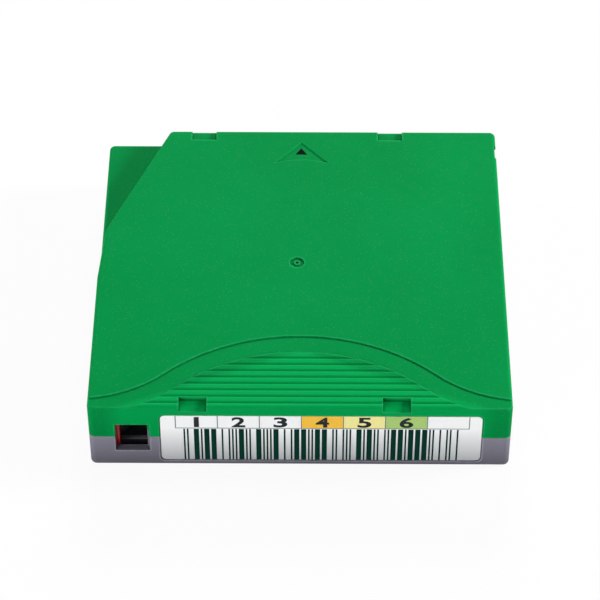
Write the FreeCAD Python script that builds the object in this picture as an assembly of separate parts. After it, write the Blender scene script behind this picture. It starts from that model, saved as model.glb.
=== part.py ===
"""Data tape cartridge: a half-inch single-reel tape cartridge, built as on a bench, one solid per piece.

Millimetres. X runs along the label, Y towards the loading end and Z up, from the bottom centre of the case.
"""
import FreeCAD
import Part
import math
import os

V = FreeCAD.Vector
EPS = 1e-6
PAST = 1.0                     # how far a cutter reaches past a face, at the least

# ---- case ------------------------------------------------------------------------------------------------
CASE_X = 105.4                 # width, along the label
CASE_Y = 102.0                 # length in the loading direction
CASE_Z = 21.5                  # height
SEAM_Z = 10.5                  # height of the joint between the shells
WALL = 2.0                     # side walls
PLATE = 2.0                    # top and bottom plates
CORNER_R = 1.5                 # upright corners
INNER_R = 0.3                  # the least radius of an inner corner
ARRIS_R = 1.0                  # top and bottom edges
SEAM_CHAMFER = 0.2
LIP_H = 1.0                    # tongue of the bottom shell, inside the wall of the top shell
LIP_CLEAR = 0.1
FIT = 0.3                      # gap between pieces that sit beside each other
SLIDE = 0.2                    # gap on each side of a sliding piece
FRONT_Y = -CASE_Y / 2
BACK_Y = CASE_Y / 2
SIDE_X = CASE_X / 2
ROOF_Z = CASE_Z - PLATE        # inner face of the top plate

# stepped loading corner
STEP_DROP = 5.5                # from the top down to the ledge
STEP_X = 16.85                 # where the slope leaves the loading end, from the side
STEP_KNEE = (1.2, 38.6)        # knee of the slope, from the side and from the loading end
STEP_TAIL = 56.0               # where the slope meets the side, from the loading end
STEP_KNEE_R = 14.0
LEDGE_ARRIS_R = 0.8
LEDGE_Z = CASE_Z - STEP_DROP

# ---- grip of the top shell -------------------------------------------------------------------------------
GRIP_DEPTH = 0.3               # step down inside the bell curve
GRIP_APEX = 24.67              # from the label end to the top of the bell
GRIP_FOOT = 3.1                # from the label end to the foot of the bell
GRIP_R = 51.0                  # arc over the middle
GRIP_SIDE_R = 32.4             # reversed arcs at the sides
RIB_COUNT = 10
RIB_PITCH = 2.167
RIB_FIRST = 20.8               # from the label end to the crest of the last rib
RIB_RISE = 0.6                 # run of the slope at the back of a rib
RIB_CREST = 1.0                # flat of a rib
RIB_MARGIN = 4.1               # from the bell curve to the rib ends
RIB_END_SLOPE = 0.35

# ---- small forms of the case -----------------------------------------------------------------------------
NOTCH_MID_X = -1.3             # middle of each pair of handling notches
NOTCH_SPREAD = 50.6            # between the two notches of a pair
FRONT_NOTCH = (6.9, 3.6)       # width and length
FRONT_NOTCH_DEPTH = (1.0, 1.75)
BACK_NOTCH = (6.6, 4.2)
BACK_NOTCH_DEPTH = 0.95
BACK_NOTCH_EASE = (0.8, 0.35)  # run and drop of the eased edge across it
ARROW_DEPTH = 0.3
ARROW_APEX = 4.7               # from the loading end
ARROW_LENGTH = 8.35
ARROW_WIDTH = 14.9
ARROW_CURVE = 1.1              # rise of its lower edge
ARROW_EASE = (0.4, 0.8)        # run of its slopes: at the upper edges and at the lower edge
GATE_R = 1.85
GATE_DEPTH = 0.35
GATE_NUB_R = 0.85
LABEL_SIDES = (18.0, 7.4)      # from the left and the right side to the label
LABEL_FOOT = 2.05
LABEL_HEAD = 3.15              # from the top down to the label
LABEL_T = 0.12
LABEL_R = 1.3
LABEL_MARGIN = 0.3
LABEL_RECESS = 0.25
LABEL_X = CASE_X - LABEL_SIDES[0] - LABEL_SIDES[1]
LABEL_Z = CASE_Z - LABEL_HEAD - LABEL_FOOT
LABEL_MID_X = (LABEL_SIDES[0] - LABEL_SIDES[1]) / 2
LABEL_MID_Z = LABEL_FOOT + LABEL_Z / 2

# ---- reel ------------------------------------------------------------------------------------------------
REEL_X = -1.0
REEL_Y = 0.0
REEL_TO_SIDE = 4.5             # from the flange to the outside of the case
REEL_TO_END = 2.8
FLANGE_LIP = 2.2               # flange outside a full pack
FLANGE_T = 1.1
REEL_FLOAT = 0.2               # between the reel and its seat ring
SEAT_H = 1.0                   # seat ring of the bottom shell
SEAT_W = 1.4
OPENING_R = 19.0               # drive opening in the bottom shell
HUB_R = 22.0
HUB_WALL = 1.8
WEB_T = 1.6
TAPE_W = 12.65
PACK_CLEAR = 0.3
CORE_CLEAR = 0.02
SPIGOT_H = 1.5
DRIVE_RING = (14.2, 18.2)      # inner and outer radius
DRIVE_RING_H = 2.1
DRIVE_TEETH = 60
TOOTH_H = 1.1
TOOTH_HALF = 0.58
DISC_R = (5.5, 12.8)           # drive plate
DISC_T = 1.0
WEB_HOLE_R = 3.6
LEG_PITCH_R = 16.2
LEG_R = 2.2
LEG_CLEAR = 0.45
LEG_COUNT = 3
WEB_STEP = 0.8                 # from the underside of the lower flange up to the web
FLANGE_R = min(SIDE_X - REEL_TO_SIDE, BACK_Y - REEL_TO_END)
PACK_R = FLANGE_R - FLANGE_LIP
LOWER_FLANGE_Z = PLATE + SEAT_H + REEL_FLOAT
WEB_Z = LOWER_FLANGE_Z + WEB_STEP
WEB_TOP = WEB_Z + WEB_T
TAPE_Z = LOWER_FLANGE_Z + FLANGE_T + PACK_CLEAR
UPPER_FLANGE_Z = TAPE_Z + TAPE_W + PACK_CLEAR

# ---- brake -----------------------------------------------------------------------------------------------
BRAKE_TRAVEL = 1.6
BRAKE_RING = (12.5, 16.5)
BRAKE_RING_H = 1.5             # foot of the hub's brake segments
BRAKE_TEETH = 60
SEGMENT_TEETH = 14
BRAKE_GAP = 0.25               # crest of one ring to the face of the other
BRAKE_T = 1.9
BRAKE_STEP = 0.75              # its middle stands this much above the toothed face
RIDGE_H = 1.0
TIP_R = (0.8, 2.0)             # tip that rests over the pad: its end and its root
PAD_T = 1.5
PAD_R = 6.5
PAD_ARM_W = 4.6
PAD_CHAMFER = 0.4              # at the feet of its legs
PAD_REACH = 0.85               # from the feet up to the underside of the case
SOCKET_R = 6.0
POST_W = 8.0
POST_T = 1.7
POST_CLEAR = 0.15
POST_SINK = 3.6                # how far the post reaches into the socket
SOCKET_GAP = 1.5               # from the lifted socket to the top plate
SPRING_WIRE = 0.9
SPRING_R = 7.3
SPRING_TURNS = 4.5
SPRING_RIB = (1.0, 1.2)        # width and height of the ring round its upper end
SPRING_END_CLEAR = 0.05
WIRE_SIDES = 6
CREST_Z = WEB_TOP + BRAKE_RING_H + TOOTH_H
BRAKE_FACE_Z = CREST_Z + BRAKE_GAP
BRAKE_TOP_Z = BRAKE_FACE_Z + BRAKE_T
PAD_Z = WEB_TOP + FIT
PAD_TOP = PAD_Z + PAD_T
SOCKET_TOP = ROOF_Z - BRAKE_TRAVEL - SOCKET_GAP
POST_TIP_Z = SOCKET_TOP - POST_SINK

# ---- door and leader pin ---------------------------------------------------------------------------------
DOOR_T = 1.2
DOOR_OPENING = 20.0            # length of the opening
DOOR_END = 3.6                 # from the loading end to the opening
DOOR_LAP = (1.6, 1.2)          # lap behind the wall: trailing, leading
DOOR_GROOVE = 0.5              # into the plates
DOOR_SKIN = 1.2                # wall left outside the door
CATCH = (2.0, 5.5, 0.6)        # length, height and depth of the opener's catch
LUG = (2.0, 3.7)               # length and height of the spring lug
DOOR_SPRING_R = 1.25
DOOR_SPRING_WIRE = 0.35
DOOR_SPRING_TURNS = 9
NUB_R = 0.8
NUB_L = 2.0
SPRING_ROOM = 29.7             # left for the spring when the door is open
SPRING_SEAT_T = 1.5
RAIL_H = 1.2
RAIL_T = 0.8
PIN_FROM_SIDE = 9.1
PIN_FROM_END = 8.0
PIN_R = 1.5
PIN_FLANGE_R = 2.6
PIN_FLANGE_T = 1.0
PIN_EDGE = 0.2
PIN_SEAT = 0.65                # depth of the pin seats in the plates
PIN_SEAT_CLEAR = 0.1
CLIP_R = 2.2
CLIP_MARGIN = 0.2              # the clip is this much longer than the tape is wide, at each end
CLIP_GAP_W = 1.6
FORK_T = 0.3
FORK_W = 5.0
FORK_TO_PIN = 3.0              # from its left edge
FORK_REACH = 3.4               # past the pin
FORK_Z = 0.9                   # arm above the plate
SIDE_NOTCH = (4.6, 0.4)        # length and depth of the notch over the pin
FILM_T = 0.15
DOOR_OUT_X = SIDE_X - DOOR_SKIN - SLIDE * 0.75
DOOR_IN_X = DOOR_OUT_X - DOOR_T
DOOR_Y1 = BACK_Y - DOOR_END
DOOR_Y0 = DOOR_Y1 - DOOR_OPENING
DOOR_TRAVEL = DOOR_OPENING + DOOR_LAP[1]
SPRING_SEAT_Y = DOOR_Y0 - DOOR_TRAVEL - SPRING_ROOM
PIN_X = SIDE_X - PIN_FROM_SIDE
PIN_Y = BACK_Y - PIN_FROM_END
SPRING_X = DOOR_OUT_X - DOOR_SPRING_R - DOOR_SPRING_WIRE / 2
MID_Z = (PLATE + ROOF_Z) / 2

# ---- write-protect slider --------------------------------------------------------------------------------
WINDOW_X = 8.7
WINDOW_Z = 9.6
WINDOW_FLARE = 0.75            # how much its right side opens outwards
WINDOW_FROM_SIDE = 10.95       # from the left side to its middle
WINDOW_MID_Z = 10.3
SLIDER_T = 2.8
SLIDER_SHOWS = 0.95            # strip seen in the window
SLIDER_TRAVEL = 8.0
GUIDE_T = 1.0
GUIDE_H = 2.2                  # ribs behind it, on both plates
RIDGES = 3
RIDGE_W = 0.3                  # ridges and grooves of the strip
SLIDER_WALL = 1.0
SLIDER_RIM = 2.0
WINDOW_MID_X = -SIDE_X + WINDOW_FROM_SIDE
SLIDER_X1 = WINDOW_MID_X - WINDOW_X / 2 + SLIDER_SHOWS
SLIDER_STOP_X = SLIDER_X1 + SLIDER_TRAVEL + FIT

# ---- memory board ----------------------------------------------------------------------------------------
BOARD = (16.0, 9.0, 0.8)       # length, width and thickness
BOARD_FROM_SIDE = 11.2         # from the right side to its middle
BOARD_FOOT = 8.0               # where its plane meets the plate, from the wall
BOARD_MARGIN = 1.5             # from an end of the board to the rib under it
RIB_T = 1.2
CHIP_R = 2.4
CHIP_H = 0.8
BOARD_MID_X = SIDE_X - BOARD_FROM_SIDE

# ---- screws and locating holes ---------------------------------------------------------------------------
SCREW_R = 1.0
SCREW_HEAD_R = 2.1
SCREW_HEAD_H = 1.4
SCREW_GRIP = 4.5               # thread in the boss of the top shell
SCREW_SINK = 0.6
SCREW_RIM = 0.7                # upright part of the head, and depth of its crossed slots
SCREW_SLOT = (2.6, 0.5)        # length and width
SCREW_TIP = (0.4, 0.6)         # radius of the end and length of its taper
SCREW_CLEAR = 0.25
PILOT_CLEAR = 0.03
PILOT_ROOM = 0.5               # past the end of the screw
BOSS_R = 3.1
BOSS_DROP = 2.5                # from the seam down to the joint of the bosses
SCREW_CORNERS = ((-1, 6.7, 1, 6.0), (1, 16.7, 1, 5.0), (-1, 6.4, -1, 11.5), (1, 6.4, -1, 13.5))
LOCATE_CORNER = (14.7, 14.5)   # from the side and from the loading end
LOCATE_R = 2.0
LOCATE_DEPTH = 3.4
LOCATE_ROOF = 1.2              # plastic over the hole
LOCATE_SLOT = (1.6, 1.6)       # extra length of the oblong one, and the radius of its ends
LOCATE_BOSS_R = 3.2
SCREWS = [(sx * (SIDE_X - dx), sy * (BACK_Y - dy)) for sx, dx, sy, dy in SCREW_CORNERS]
BOSS_JOINT_Z = SEAM_Z - BOSS_DROP
SCREW_TOP = BOSS_JOINT_Z + SCREW_GRIP
LOCATE_X = SIDE_X - LOCATE_CORNER[0]
LOCATE_Y = BACK_Y - LOCATE_CORNER[1]


# ---- helpers ---------------------------------------------------------------------------------------------
def box(x0, x1, y0, y1, z0, z1):
    """A block between two corners."""
    return Part.makeBox(x1 - x0, y1 - y0, z1 - z0, V(x0, y0, z0))


def rod(radius, z0, z1, x=0.0, y=0.0):
    """An upright cylinder."""
    return Part.makeCylinder(radius, z1 - z0, V(x, y, z0))


def tube(inner, outer, z0, z1, x=0.0, y=0.0):
    """An upright ring."""
    return rod(outer, z0, z1, x, y).cut(rod(inner, z0 - PAST, z1 + PAST, x, y))


def rounded(corners):
    """A closed wire through (x, y, radius) corners, each rounded by its radius."""
    edges = []
    ends = []
    count = len(corners)
    for i in range(count):
        here = V(corners[i][0], corners[i][1], 0)
        back = V(corners[i - 1][0], corners[i - 1][1], 0).sub(here).normalize()
        ahead = V(corners[(i + 1) % count][0], corners[(i + 1) % count][1], 0).sub(here).normalize()
        half = back.getAngle(ahead) / 2
        radius = corners[i][2]
        reach = radius / math.tan(half)
        middle = back.add(ahead).normalize()
        centre = here.add(middle * (radius / math.sin(half)))
        first = here.add(back * reach)
        last = here.add(ahead * reach)
        if radius > EPS:
            edges.append(Part.Arc(first, centre.sub(middle * radius), last).toShape())
        ends.append((first, last))
    for i in range(count):
        start = ends[i - 1][1]
        end = ends[i][0]
        if start.distanceToPoint(end) > EPS:
            edges.append(Part.LineSegment(start, end).toShape())
    return Part.Wire(Part.__sortEdges__(edges))


def inset(corners, depth):
    """The same convex outline, moved inwards."""
    moved = []
    count = len(corners)
    for i in range(count):
        here = V(corners[i][0], corners[i][1], 0)
        along = here.sub(V(corners[i - 1][0], corners[i - 1][1], 0)).normalize()
        onward = V(corners[(i + 1) % count][0], corners[(i + 1) % count][1], 0).sub(here).normalize()
        n1 = V(-along.y, along.x, 0)
        n2 = V(-onward.y, onward.x, 0)
        shift = n1.add(n2) * (depth / (1 + n1.dot(n2)))
        moved.append((here.x + shift.x, here.y + shift.y, max(corners[i][2] - depth, INNER_R)))
    return moved


def prism(wire, z0, z1):
    """An upright solid on a flat outline drawn at Z = 0."""
    face = Part.Face(wire)
    face.translate(V(0, 0, z0))
    return face.extrude(V(0, 0, z1 - z0))


def profile_along_x(points, x0, x1):
    """A solid from a (y, z) outline, run along X."""
    wire = Part.makePolygon([V(x0, y, z) for y, z in points] + [V(x0, points[0][0], points[0][1])])
    return Part.Face(wire).extrude(V(x1 - x0, 0, 0))


def revolved(points, x=0.0, y=0.0):
    """A turned solid from a closed (radius, z) outline about an upright axis."""
    wire = Part.makePolygon([V(r, 0, z) for r, z in points] + [V(points[0][0], 0, points[0][1])])
    solid = Part.Face(wire).revolve(V(0, 0, 0), V(0, 0, 1), 360)
    solid.translate(V(x, y, 0))
    return solid


def mirrored_z(shape):
    """The same shape for the other plate: turned over about the middle height."""
    return shape.mirror(V(0, 0, CASE_Z / 2), V(0, 0, 1))


def level_edges(solid, z):
    """The edges of a solid that lie at one height."""
    near = EPS * 10
    return [e for e in solid.Edges if abs(e.BoundBox.ZMin - z) < near and abs(e.BoundBox.ZMax - z) < near]


def fuse(first, others):
    """One clean solid from pieces that touch or overlap."""
    return first.fuse(others).removeSplitter()


def at_reel(shape):
    """Moves a shape made about Z to the reel's axis."""
    shape.translate(V(REEL_X, REEL_Y, 0))
    return shape


# ---- the case as one block -------------------------------------------------------------------------------
def rectangle_corners():
    """Plan of the whole case, anticlockwise."""
    return [(x, y, CORNER_R) for x, y in
            ((-SIDE_X, FRONT_Y), (SIDE_X, FRONT_Y), (SIDE_X, BACK_Y), (-SIDE_X, BACK_Y))]


def stepped_corners():
    """Plan of the case above the ledge, with the slope at the loading corner."""
    return [(-SIDE_X, FRONT_Y, CORNER_R),
            (SIDE_X, FRONT_Y, CORNER_R),
            (SIDE_X, BACK_Y, CORNER_R),
            (-SIDE_X + STEP_X, BACK_Y, CORNER_R),
            (-SIDE_X + STEP_KNEE[0], BACK_Y - STEP_KNEE[1], STEP_KNEE_R),
            (-SIDE_X, BACK_Y - STEP_TAIL, STEP_KNEE_R)]


def case_block():
    """Outer form of the closed case, with rounded edges."""
    lower = prism(rounded(rectangle_corners()), 0, LEDGE_Z)
    lower = lower.makeFillet(ARRIS_R, level_edges(lower, 0))
    lower = lower.makeFillet(LEDGE_ARRIS_R, level_edges(lower, LEDGE_Z))
    upper = prism(rounded(stepped_corners()), LEDGE_Z / 2, CASE_Z)
    upper = upper.makeFillet(ARRIS_R, level_edges(upper, CASE_Z))
    return fuse(lower, [upper])


def cavity():
    """Inside of the closed case."""
    low = prism(rounded(inset(rectangle_corners(), WALL)), PLATE, LEDGE_Z - PLATE)
    high = prism(rounded(inset(stepped_corners(), WALL)), PLATE, ROOF_Z)
    return fuse(low, [high])


def seam_ring(outer, inner, z0, z1):
    """A band between two insets of the plan, left out where the door runs."""
    band = prism(rounded(inset(rectangle_corners(), outer)), z0, z1)
    band = band.cut(prism(rounded(inset(rectangle_corners(), inner)), z0 - PAST, z1 + PAST))
    y0 = SPRING_SEAT_Y - SPRING_SEAT_T - FIT
    return band.cut(box(DOOR_IN_X - RAIL_T, SIDE_X, y0, BACK_Y, z0 - PAST, z1 + PAST))


def window_box():
    """Write-protect window through the label wall, with a flared right side."""
    x0 = WINDOW_MID_X - WINDOW_X / 2
    x1 = x0 + WINDOW_X
    z0 = WINDOW_MID_Z - WINDOW_Z / 2
    near = FRONT_Y - PAST
    far = FRONT_Y + WALL + SLIDE
    narrow = x1 - WINDOW_FLARE
    points = [(x0, near), (x1, near), (x1, FRONT_Y), (narrow, FRONT_Y + WALL), (narrow, far), (x0, far)]
    wire = Part.makePolygon([V(x, y, 0) for x, y in points + points[:1]])
    return prism(wire, z0, z0 + WINDOW_Z)


def label_recess():
    """Shallow rounded pocket for the label, across the seam."""
    half_x = LABEL_X / 2 + LABEL_MARGIN
    half_z = LABEL_Z / 2 + LABEL_MARGIN
    pocket = prism(rounded([(-half_x, -half_z, LABEL_R), (half_x, -half_z, LABEL_R),
                            (half_x, half_z, LABEL_R), (-half_x, half_z, LABEL_R)]), -1, LABEL_RECESS)
    pocket.rotate(V(0, 0, 0), V(1, 0, 0), -90)
    pocket.translate(V(LABEL_MID_X, FRONT_Y, LABEL_MID_Z))
    return pocket


def front_notch(x):
    """Handling notch at the label end of the top: its floor slopes out through the wall."""
    width, length = FRONT_NOTCH
    near, far = FRONT_NOTCH_DEPTH
    points = [(FRONT_Y + length, CASE_Z + PAST), (FRONT_Y + length, CASE_Z - near),
              (FRONT_Y - PAST, CASE_Z - far), (FRONT_Y - PAST, CASE_Z + PAST)]
    return profile_along_x(points, x - width / 2, x + width / 2)


def back_notch(x):
    """Handling notch at the loading end of the top."""
    width, length = BACK_NOTCH
    run, drop = BACK_NOTCH_EASE
    far = BACK_Y + PAST
    near = BACK_Y - length
    points = [(far, CASE_Z + PAST), (near, CASE_Z + PAST), (near, CASE_Z), (near + run, CASE_Z - drop),
              (near + run, CASE_Z - BACK_NOTCH_DEPTH), (far, CASE_Z - BACK_NOTCH_DEPTH)]
    return profile_along_x(points, x - width / 2, x + width / 2)


def notch_places():
    """Where the notches of a pair stand along X."""
    return [NOTCH_MID_X + side * NOTCH_SPREAD / 2 for side in (-1, 1)]


def door_channel():
    """Groove behind the right wall in which the door and its spring run, with the door opening."""
    channel = box(DOOR_IN_X - SLIDE, SIDE_X - DOOR_SKIN, SPRING_SEAT_Y, DOOR_Y1 + DOOR_LAP[1] + SLIDE,
                  PLATE - DOOR_GROOVE, ROOF_Z + DOOR_GROOVE)
    opening = box(DOOR_IN_X, SIDE_X + PAST, DOOR_Y0, DOOR_Y1, PLATE, ROOF_Z)
    return [channel, opening]


def pin_seats():
    """Slots in both plates that hold the ends of the leader pin and lead out through the right wall."""
    reach = PIN_FLANGE_R + PIN_SEAT_CLEAR
    z0 = PLATE - PIN_SEAT
    seat = rod(reach, z0, PLATE + PAST, PIN_X, PIN_Y)
    way = box(PIN_X, SIDE_X + PAST, PIN_Y - reach, PIN_Y + reach, z0, PLATE + PAST)
    lower = seat.fuse(way)
    return [lower, mirrored_z(lower)]


def door_rails():
    """Short ribs on the plates that keep the door against the wall."""
    x1 = DOOR_IN_X - SLIDE
    x0 = x1 - RAIL_T
    gap = PIN_FLANGE_R + PIN_SEAT_CLEAR + SLIDE
    spans = ((DOOR_Y0 - DOOR_TRAVEL, PIN_Y - gap), (PIN_Y + gap, DOOR_Y1 + DOOR_LAP[1]))
    lower = [box(x0, x1, y0, y1, PLATE - EPS, PLATE + RAIL_H) for y0, y1 in spans]
    return lower, [mirrored_z(rail) for rail in lower]


def slider_rail():
    """Rib on the bottom plate that keeps the write-protect slider against the label wall."""
    y0 = FRONT_Y + WALL + SLIDER_T + 2 * SLIDE
    return box(-SIDE_X + WALL / 2, SLIDER_STOP_X + GUIDE_T, y0, y0 + GUIDE_T, PLATE / 2, PLATE + GUIDE_H)


def slider_stop(z0, z1):
    """Wall at which the write-protect slider stops."""
    y1 = FRONT_Y + WALL + SLIDER_T + 2 * SLIDE + GUIDE_T
    return box(SLIDER_STOP_X, SLIDER_STOP_X + GUIDE_T, FRONT_Y + WALL / 2, y1, z0, z1)


def screw_roof(x, y):
    """Inner height over a screw: lower under the ledge of the stepped corner."""
    plan = Part.Face(rounded(inset(stepped_corners(), WALL)))
    inside = plan.isInside(V(x - BOSS_R * 0.7, y + BOSS_R * 0.7, 0), EPS, True)
    return ROOF_Z if inside else LEDGE_Z - PLATE


# ---- shells ----------------------------------------------------------------------------------------------
def bell(margin, z):
    """The bell-shaped outline of the grip, moved inwards by a margin, as a wire at one height."""
    apex = FRONT_Y + GRIP_APEX
    foot = FRONT_Y + GRIP_FOOT
    radii = GRIP_R + GRIP_SIDE_R
    reach = math.sqrt(radii ** 2 - (radii - (apex - foot)) ** 2)
    middle = V(0, apex - GRIP_R, z)
    main_r = GRIP_R - margin
    side_r = GRIP_SIDE_R + margin
    edges = []
    corners = []
    for side in (1, -1):
        centre = V(side * reach, foot + GRIP_SIDE_R, z)
        bend = middle.add(centre.sub(middle) * (main_r / radii))
        end = V(side * reach, foot - margin, z)
        lean = math.atan2(reach, radii - (apex - foot)) / 2
        mid = centre.add(V(-side * math.sin(lean), -math.cos(lean), 0) * side_r)
        edges.append(Part.Arc(bend, mid, end).toShape())
        corners.append((bend, end))
    top = V(0, apex - margin, z)
    edges.append(Part.Arc(corners[1][0], top, corners[0][0]).toShape())
    near = min(foot - margin, FRONT_Y) - PAST
    right = V(reach, near, z)
    left = V(-reach, near, z)
    edges.append(Part.LineSegment(corners[0][1], right).toShape())
    edges.append(Part.LineSegment(right, left).toShape())
    edges.append(Part.LineSegment(left, corners[1][1]).toShape())
    return Part.Wire(Part.__sortEdges__(edges))


def grip_ribs(block):
    """The ribs of the grip, cut off along the bell curve and by the rounded case."""
    floor = CASE_Z - GRIP_DEPTH
    first = FRONT_Y + RIB_FIRST
    points = [(first + RIB_RISE, floor)]
    for i in range(RIB_COUNT):
        crest = first - i * RIB_PITCH
        points.append((crest, CASE_Z))
        points.append((crest - RIB_CREST, CASE_Z))
        points.append((crest - RIB_PITCH + RIB_RISE, floor))
    points.append((points[-1][0], floor - ARRIS_R))
    points.append((first + RIB_RISE, floor - ARRIS_R))
    ribs = profile_along_x(points, -SIDE_X, SIDE_X)
    slope = RIB_END_SLOPE * (1 + ARRIS_R / GRIP_DEPTH)
    foot = bell(RIB_MARGIN, floor - ARRIS_R)
    head = bell(RIB_MARGIN + slope, CASE_Z)
    field = Part.makeLoft([foot, head], True, True)
    return ribs.common(field).common(block)


def arrow_outline(inset_share, z):
    """Outline of the arrow, moved inwards by a share of its slopes, as a wire at one height."""
    upper, lower = (inset_share * run for run in ARROW_EASE)
    half = ARROW_WIDTH / 2
    lean = math.hypot(half, ARROW_LENGTH)
    tip = BACK_Y - ARROW_APEX
    foot = tip - ARROW_LENGTH + lower
    apex = V(0, tip - upper * lean / half, z)
    corner = half * (apex.y - foot) / ARROW_LENGTH
    left = V(-corner, foot, z)
    right = V(corner, foot, z)
    edges = [Part.LineSegment(left, apex).toShape(), Part.LineSegment(apex, right).toShape(),
             Part.Arc(right, V(0, foot + ARROW_CURVE, z), left).toShape()]
    return Part.Wire(edges)


def arrow_recess():
    """Shallow triangle with sloped sides and a curved lower edge, which points towards the loading end."""
    return Part.makeLoft([arrow_outline(1, CASE_Z - ARROW_DEPTH), arrow_outline(0, CASE_Z)], True, True)


def gate_mark():
    """Round recess of the moulding gate, with the ring that stands in it."""
    z0 = CASE_Z - GATE_DEPTH
    recess = rod(GATE_R, z0, CASE_Z + PAST, REEL_X, REEL_Y)
    return recess.cut(tube(GATE_NUB_R / 2, GATE_NUB_R, z0 - PAST, CASE_Z - GATE_DEPTH / 3, REEL_X, REEL_Y))


def side_notch():
    """Shallow notch in the right wall of the top shell, over the leader pin."""
    length, depth = SIDE_NOTCH
    y0 = PIN_Y - length / 2
    return box(SIDE_X - depth, SIDE_X + PAST, y0, y0 + length, ROOF_Z - RAIL_H, CASE_Z + PAST)


def cross_post():
    """Cross-shaped post under the top plate that keeps the brake button from turning."""
    bars = [box(-POST_W / 2, POST_W / 2, -POST_T / 2, POST_T / 2, POST_TIP_Z, ROOF_Z + PLATE / 2),
            box(-POST_T / 2, POST_T / 2, -POST_W / 2, POST_W / 2, POST_TIP_Z, ROOF_Z + PLATE / 2)]
    return at_reel(bars[0].fuse(bars[1]))


def top_shell(block):
    """Top shell: plate, walls, grip, notches, arrow, brake post, bosses and rebate for the tongue."""
    shell = block.common(box(-CASE_X, CASE_X, -CASE_Y, CASE_Y, SEAM_Z, 2 * CASE_Z))
    shell = shell.makeChamfer(SEAM_CHAMFER, level_edges(shell, SEAM_Z))
    shell = shell.cut([cavity(), prism(bell(0, 0), CASE_Z - GRIP_DEPTH, CASE_Z + PAST)])
    rails = door_rails()[1]
    rib_r = SPRING_R + SPRING_WIRE / 2 + FIT
    rib_w, rib_h = SPRING_RIB
    spring_rib = tube(rib_r, rib_r + rib_w, ROOF_Z - rib_h, ROOF_Z + PLATE / 2, REEL_X, REEL_Y)
    guides = [mirrored_z(slider_rail()), slider_stop(SEAM_Z + LIP_CLEAR, ROOF_Z + PLATE / 2)]
    bosses = [rod(BOSS_R - FIT, BOSS_JOINT_Z, screw_roof(x, y) + PLATE / 2, x, y) for x, y in SCREWS]
    shell = fuse(shell, [grip_ribs(block), cross_post(), spring_rib] + guides + rails + bosses)
    rebate = seam_ring(WALL / 2 - LIP_CLEAR / 2, WALL, SEAM_Z - PAST, SEAM_Z + LIP_H + LIP_CLEAR)
    pilot_r = SCREW_R + PILOT_CLEAR
    pilots = [rod(pilot_r, BOSS_JOINT_Z - PAST, SCREW_TOP + PILOT_ROOM, x, y) for x, y in SCREWS]
    notches = [front_notch(x) for x in notch_places()] + [back_notch(x) for x in notch_places()]
    cuts = [rebate] + notches + door_channel() + pin_seats() + pilots
    return shell.cut(cuts + [window_box(), label_recess(), arrow_recess(), gate_mark(), side_notch()])


def board_ribs():
    """Two ribs with slanted tops that carry the memory board at 45 degrees."""
    y0 = FRONT_Y + WALL / 2
    foot = FRONT_Y + WALL + BOARD_FOOT
    points = [(y0, PLATE / 2), (foot + PLATE / 2, PLATE / 2), (y0, PLATE + foot - y0)]
    offset = BOARD[0] / 2 - BOARD_MARGIN - RIB_T
    return [profile_along_x(points, x, x + RIB_T)
            for x in (BOARD_MID_X - offset - RIB_T, BOARD_MID_X + offset)]


def spring_seat():
    """Block in which the door spring ends, with its centring nub."""
    half = DOOR_SPRING_R + DOOR_SPRING_WIRE
    seat = box(SPRING_X - half, SIDE_X - WALL - LIP_CLEAR, SPRING_SEAT_Y - SPRING_SEAT_T, SPRING_SEAT_Y,
               PLATE / 2, MID_Z + half)
    nub = Part.makeCylinder(NUB_R, NUB_L, V(SPRING_X, SPRING_SEAT_Y, MID_Z), V(0, 1, 0))
    return seat.fuse(nub)


def locating_bosses():
    """Bosses round the two locating holes."""
    round_one = rod(LOCATE_BOSS_R, PLATE / 2, LOCATE_DEPTH + LOCATE_ROOF, -LOCATE_X, LOCATE_Y)
    oblong = rod(LOCATE_BOSS_R, PLATE / 2, LOCATE_DEPTH + LOCATE_ROOF, LOCATE_X, LOCATE_Y)
    return [round_one, oblong]


def locating_holes():
    """A round hole and an oblong one, open downwards."""
    extra, width = LOCATE_SLOT
    half = extra / 2
    holes = [rod(LOCATE_R, -PAST, LOCATE_DEPTH, -LOCATE_X, LOCATE_Y)]
    ends = [rod(width, -PAST, LOCATE_DEPTH, LOCATE_X + side * half, LOCATE_Y) for side in (-1, 1)]
    middle = box(LOCATE_X - half, LOCATE_X + half, LOCATE_Y - width, LOCATE_Y + width, -PAST, LOCATE_DEPTH)
    holes.append(middle.fuse(ends))
    return holes


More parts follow.
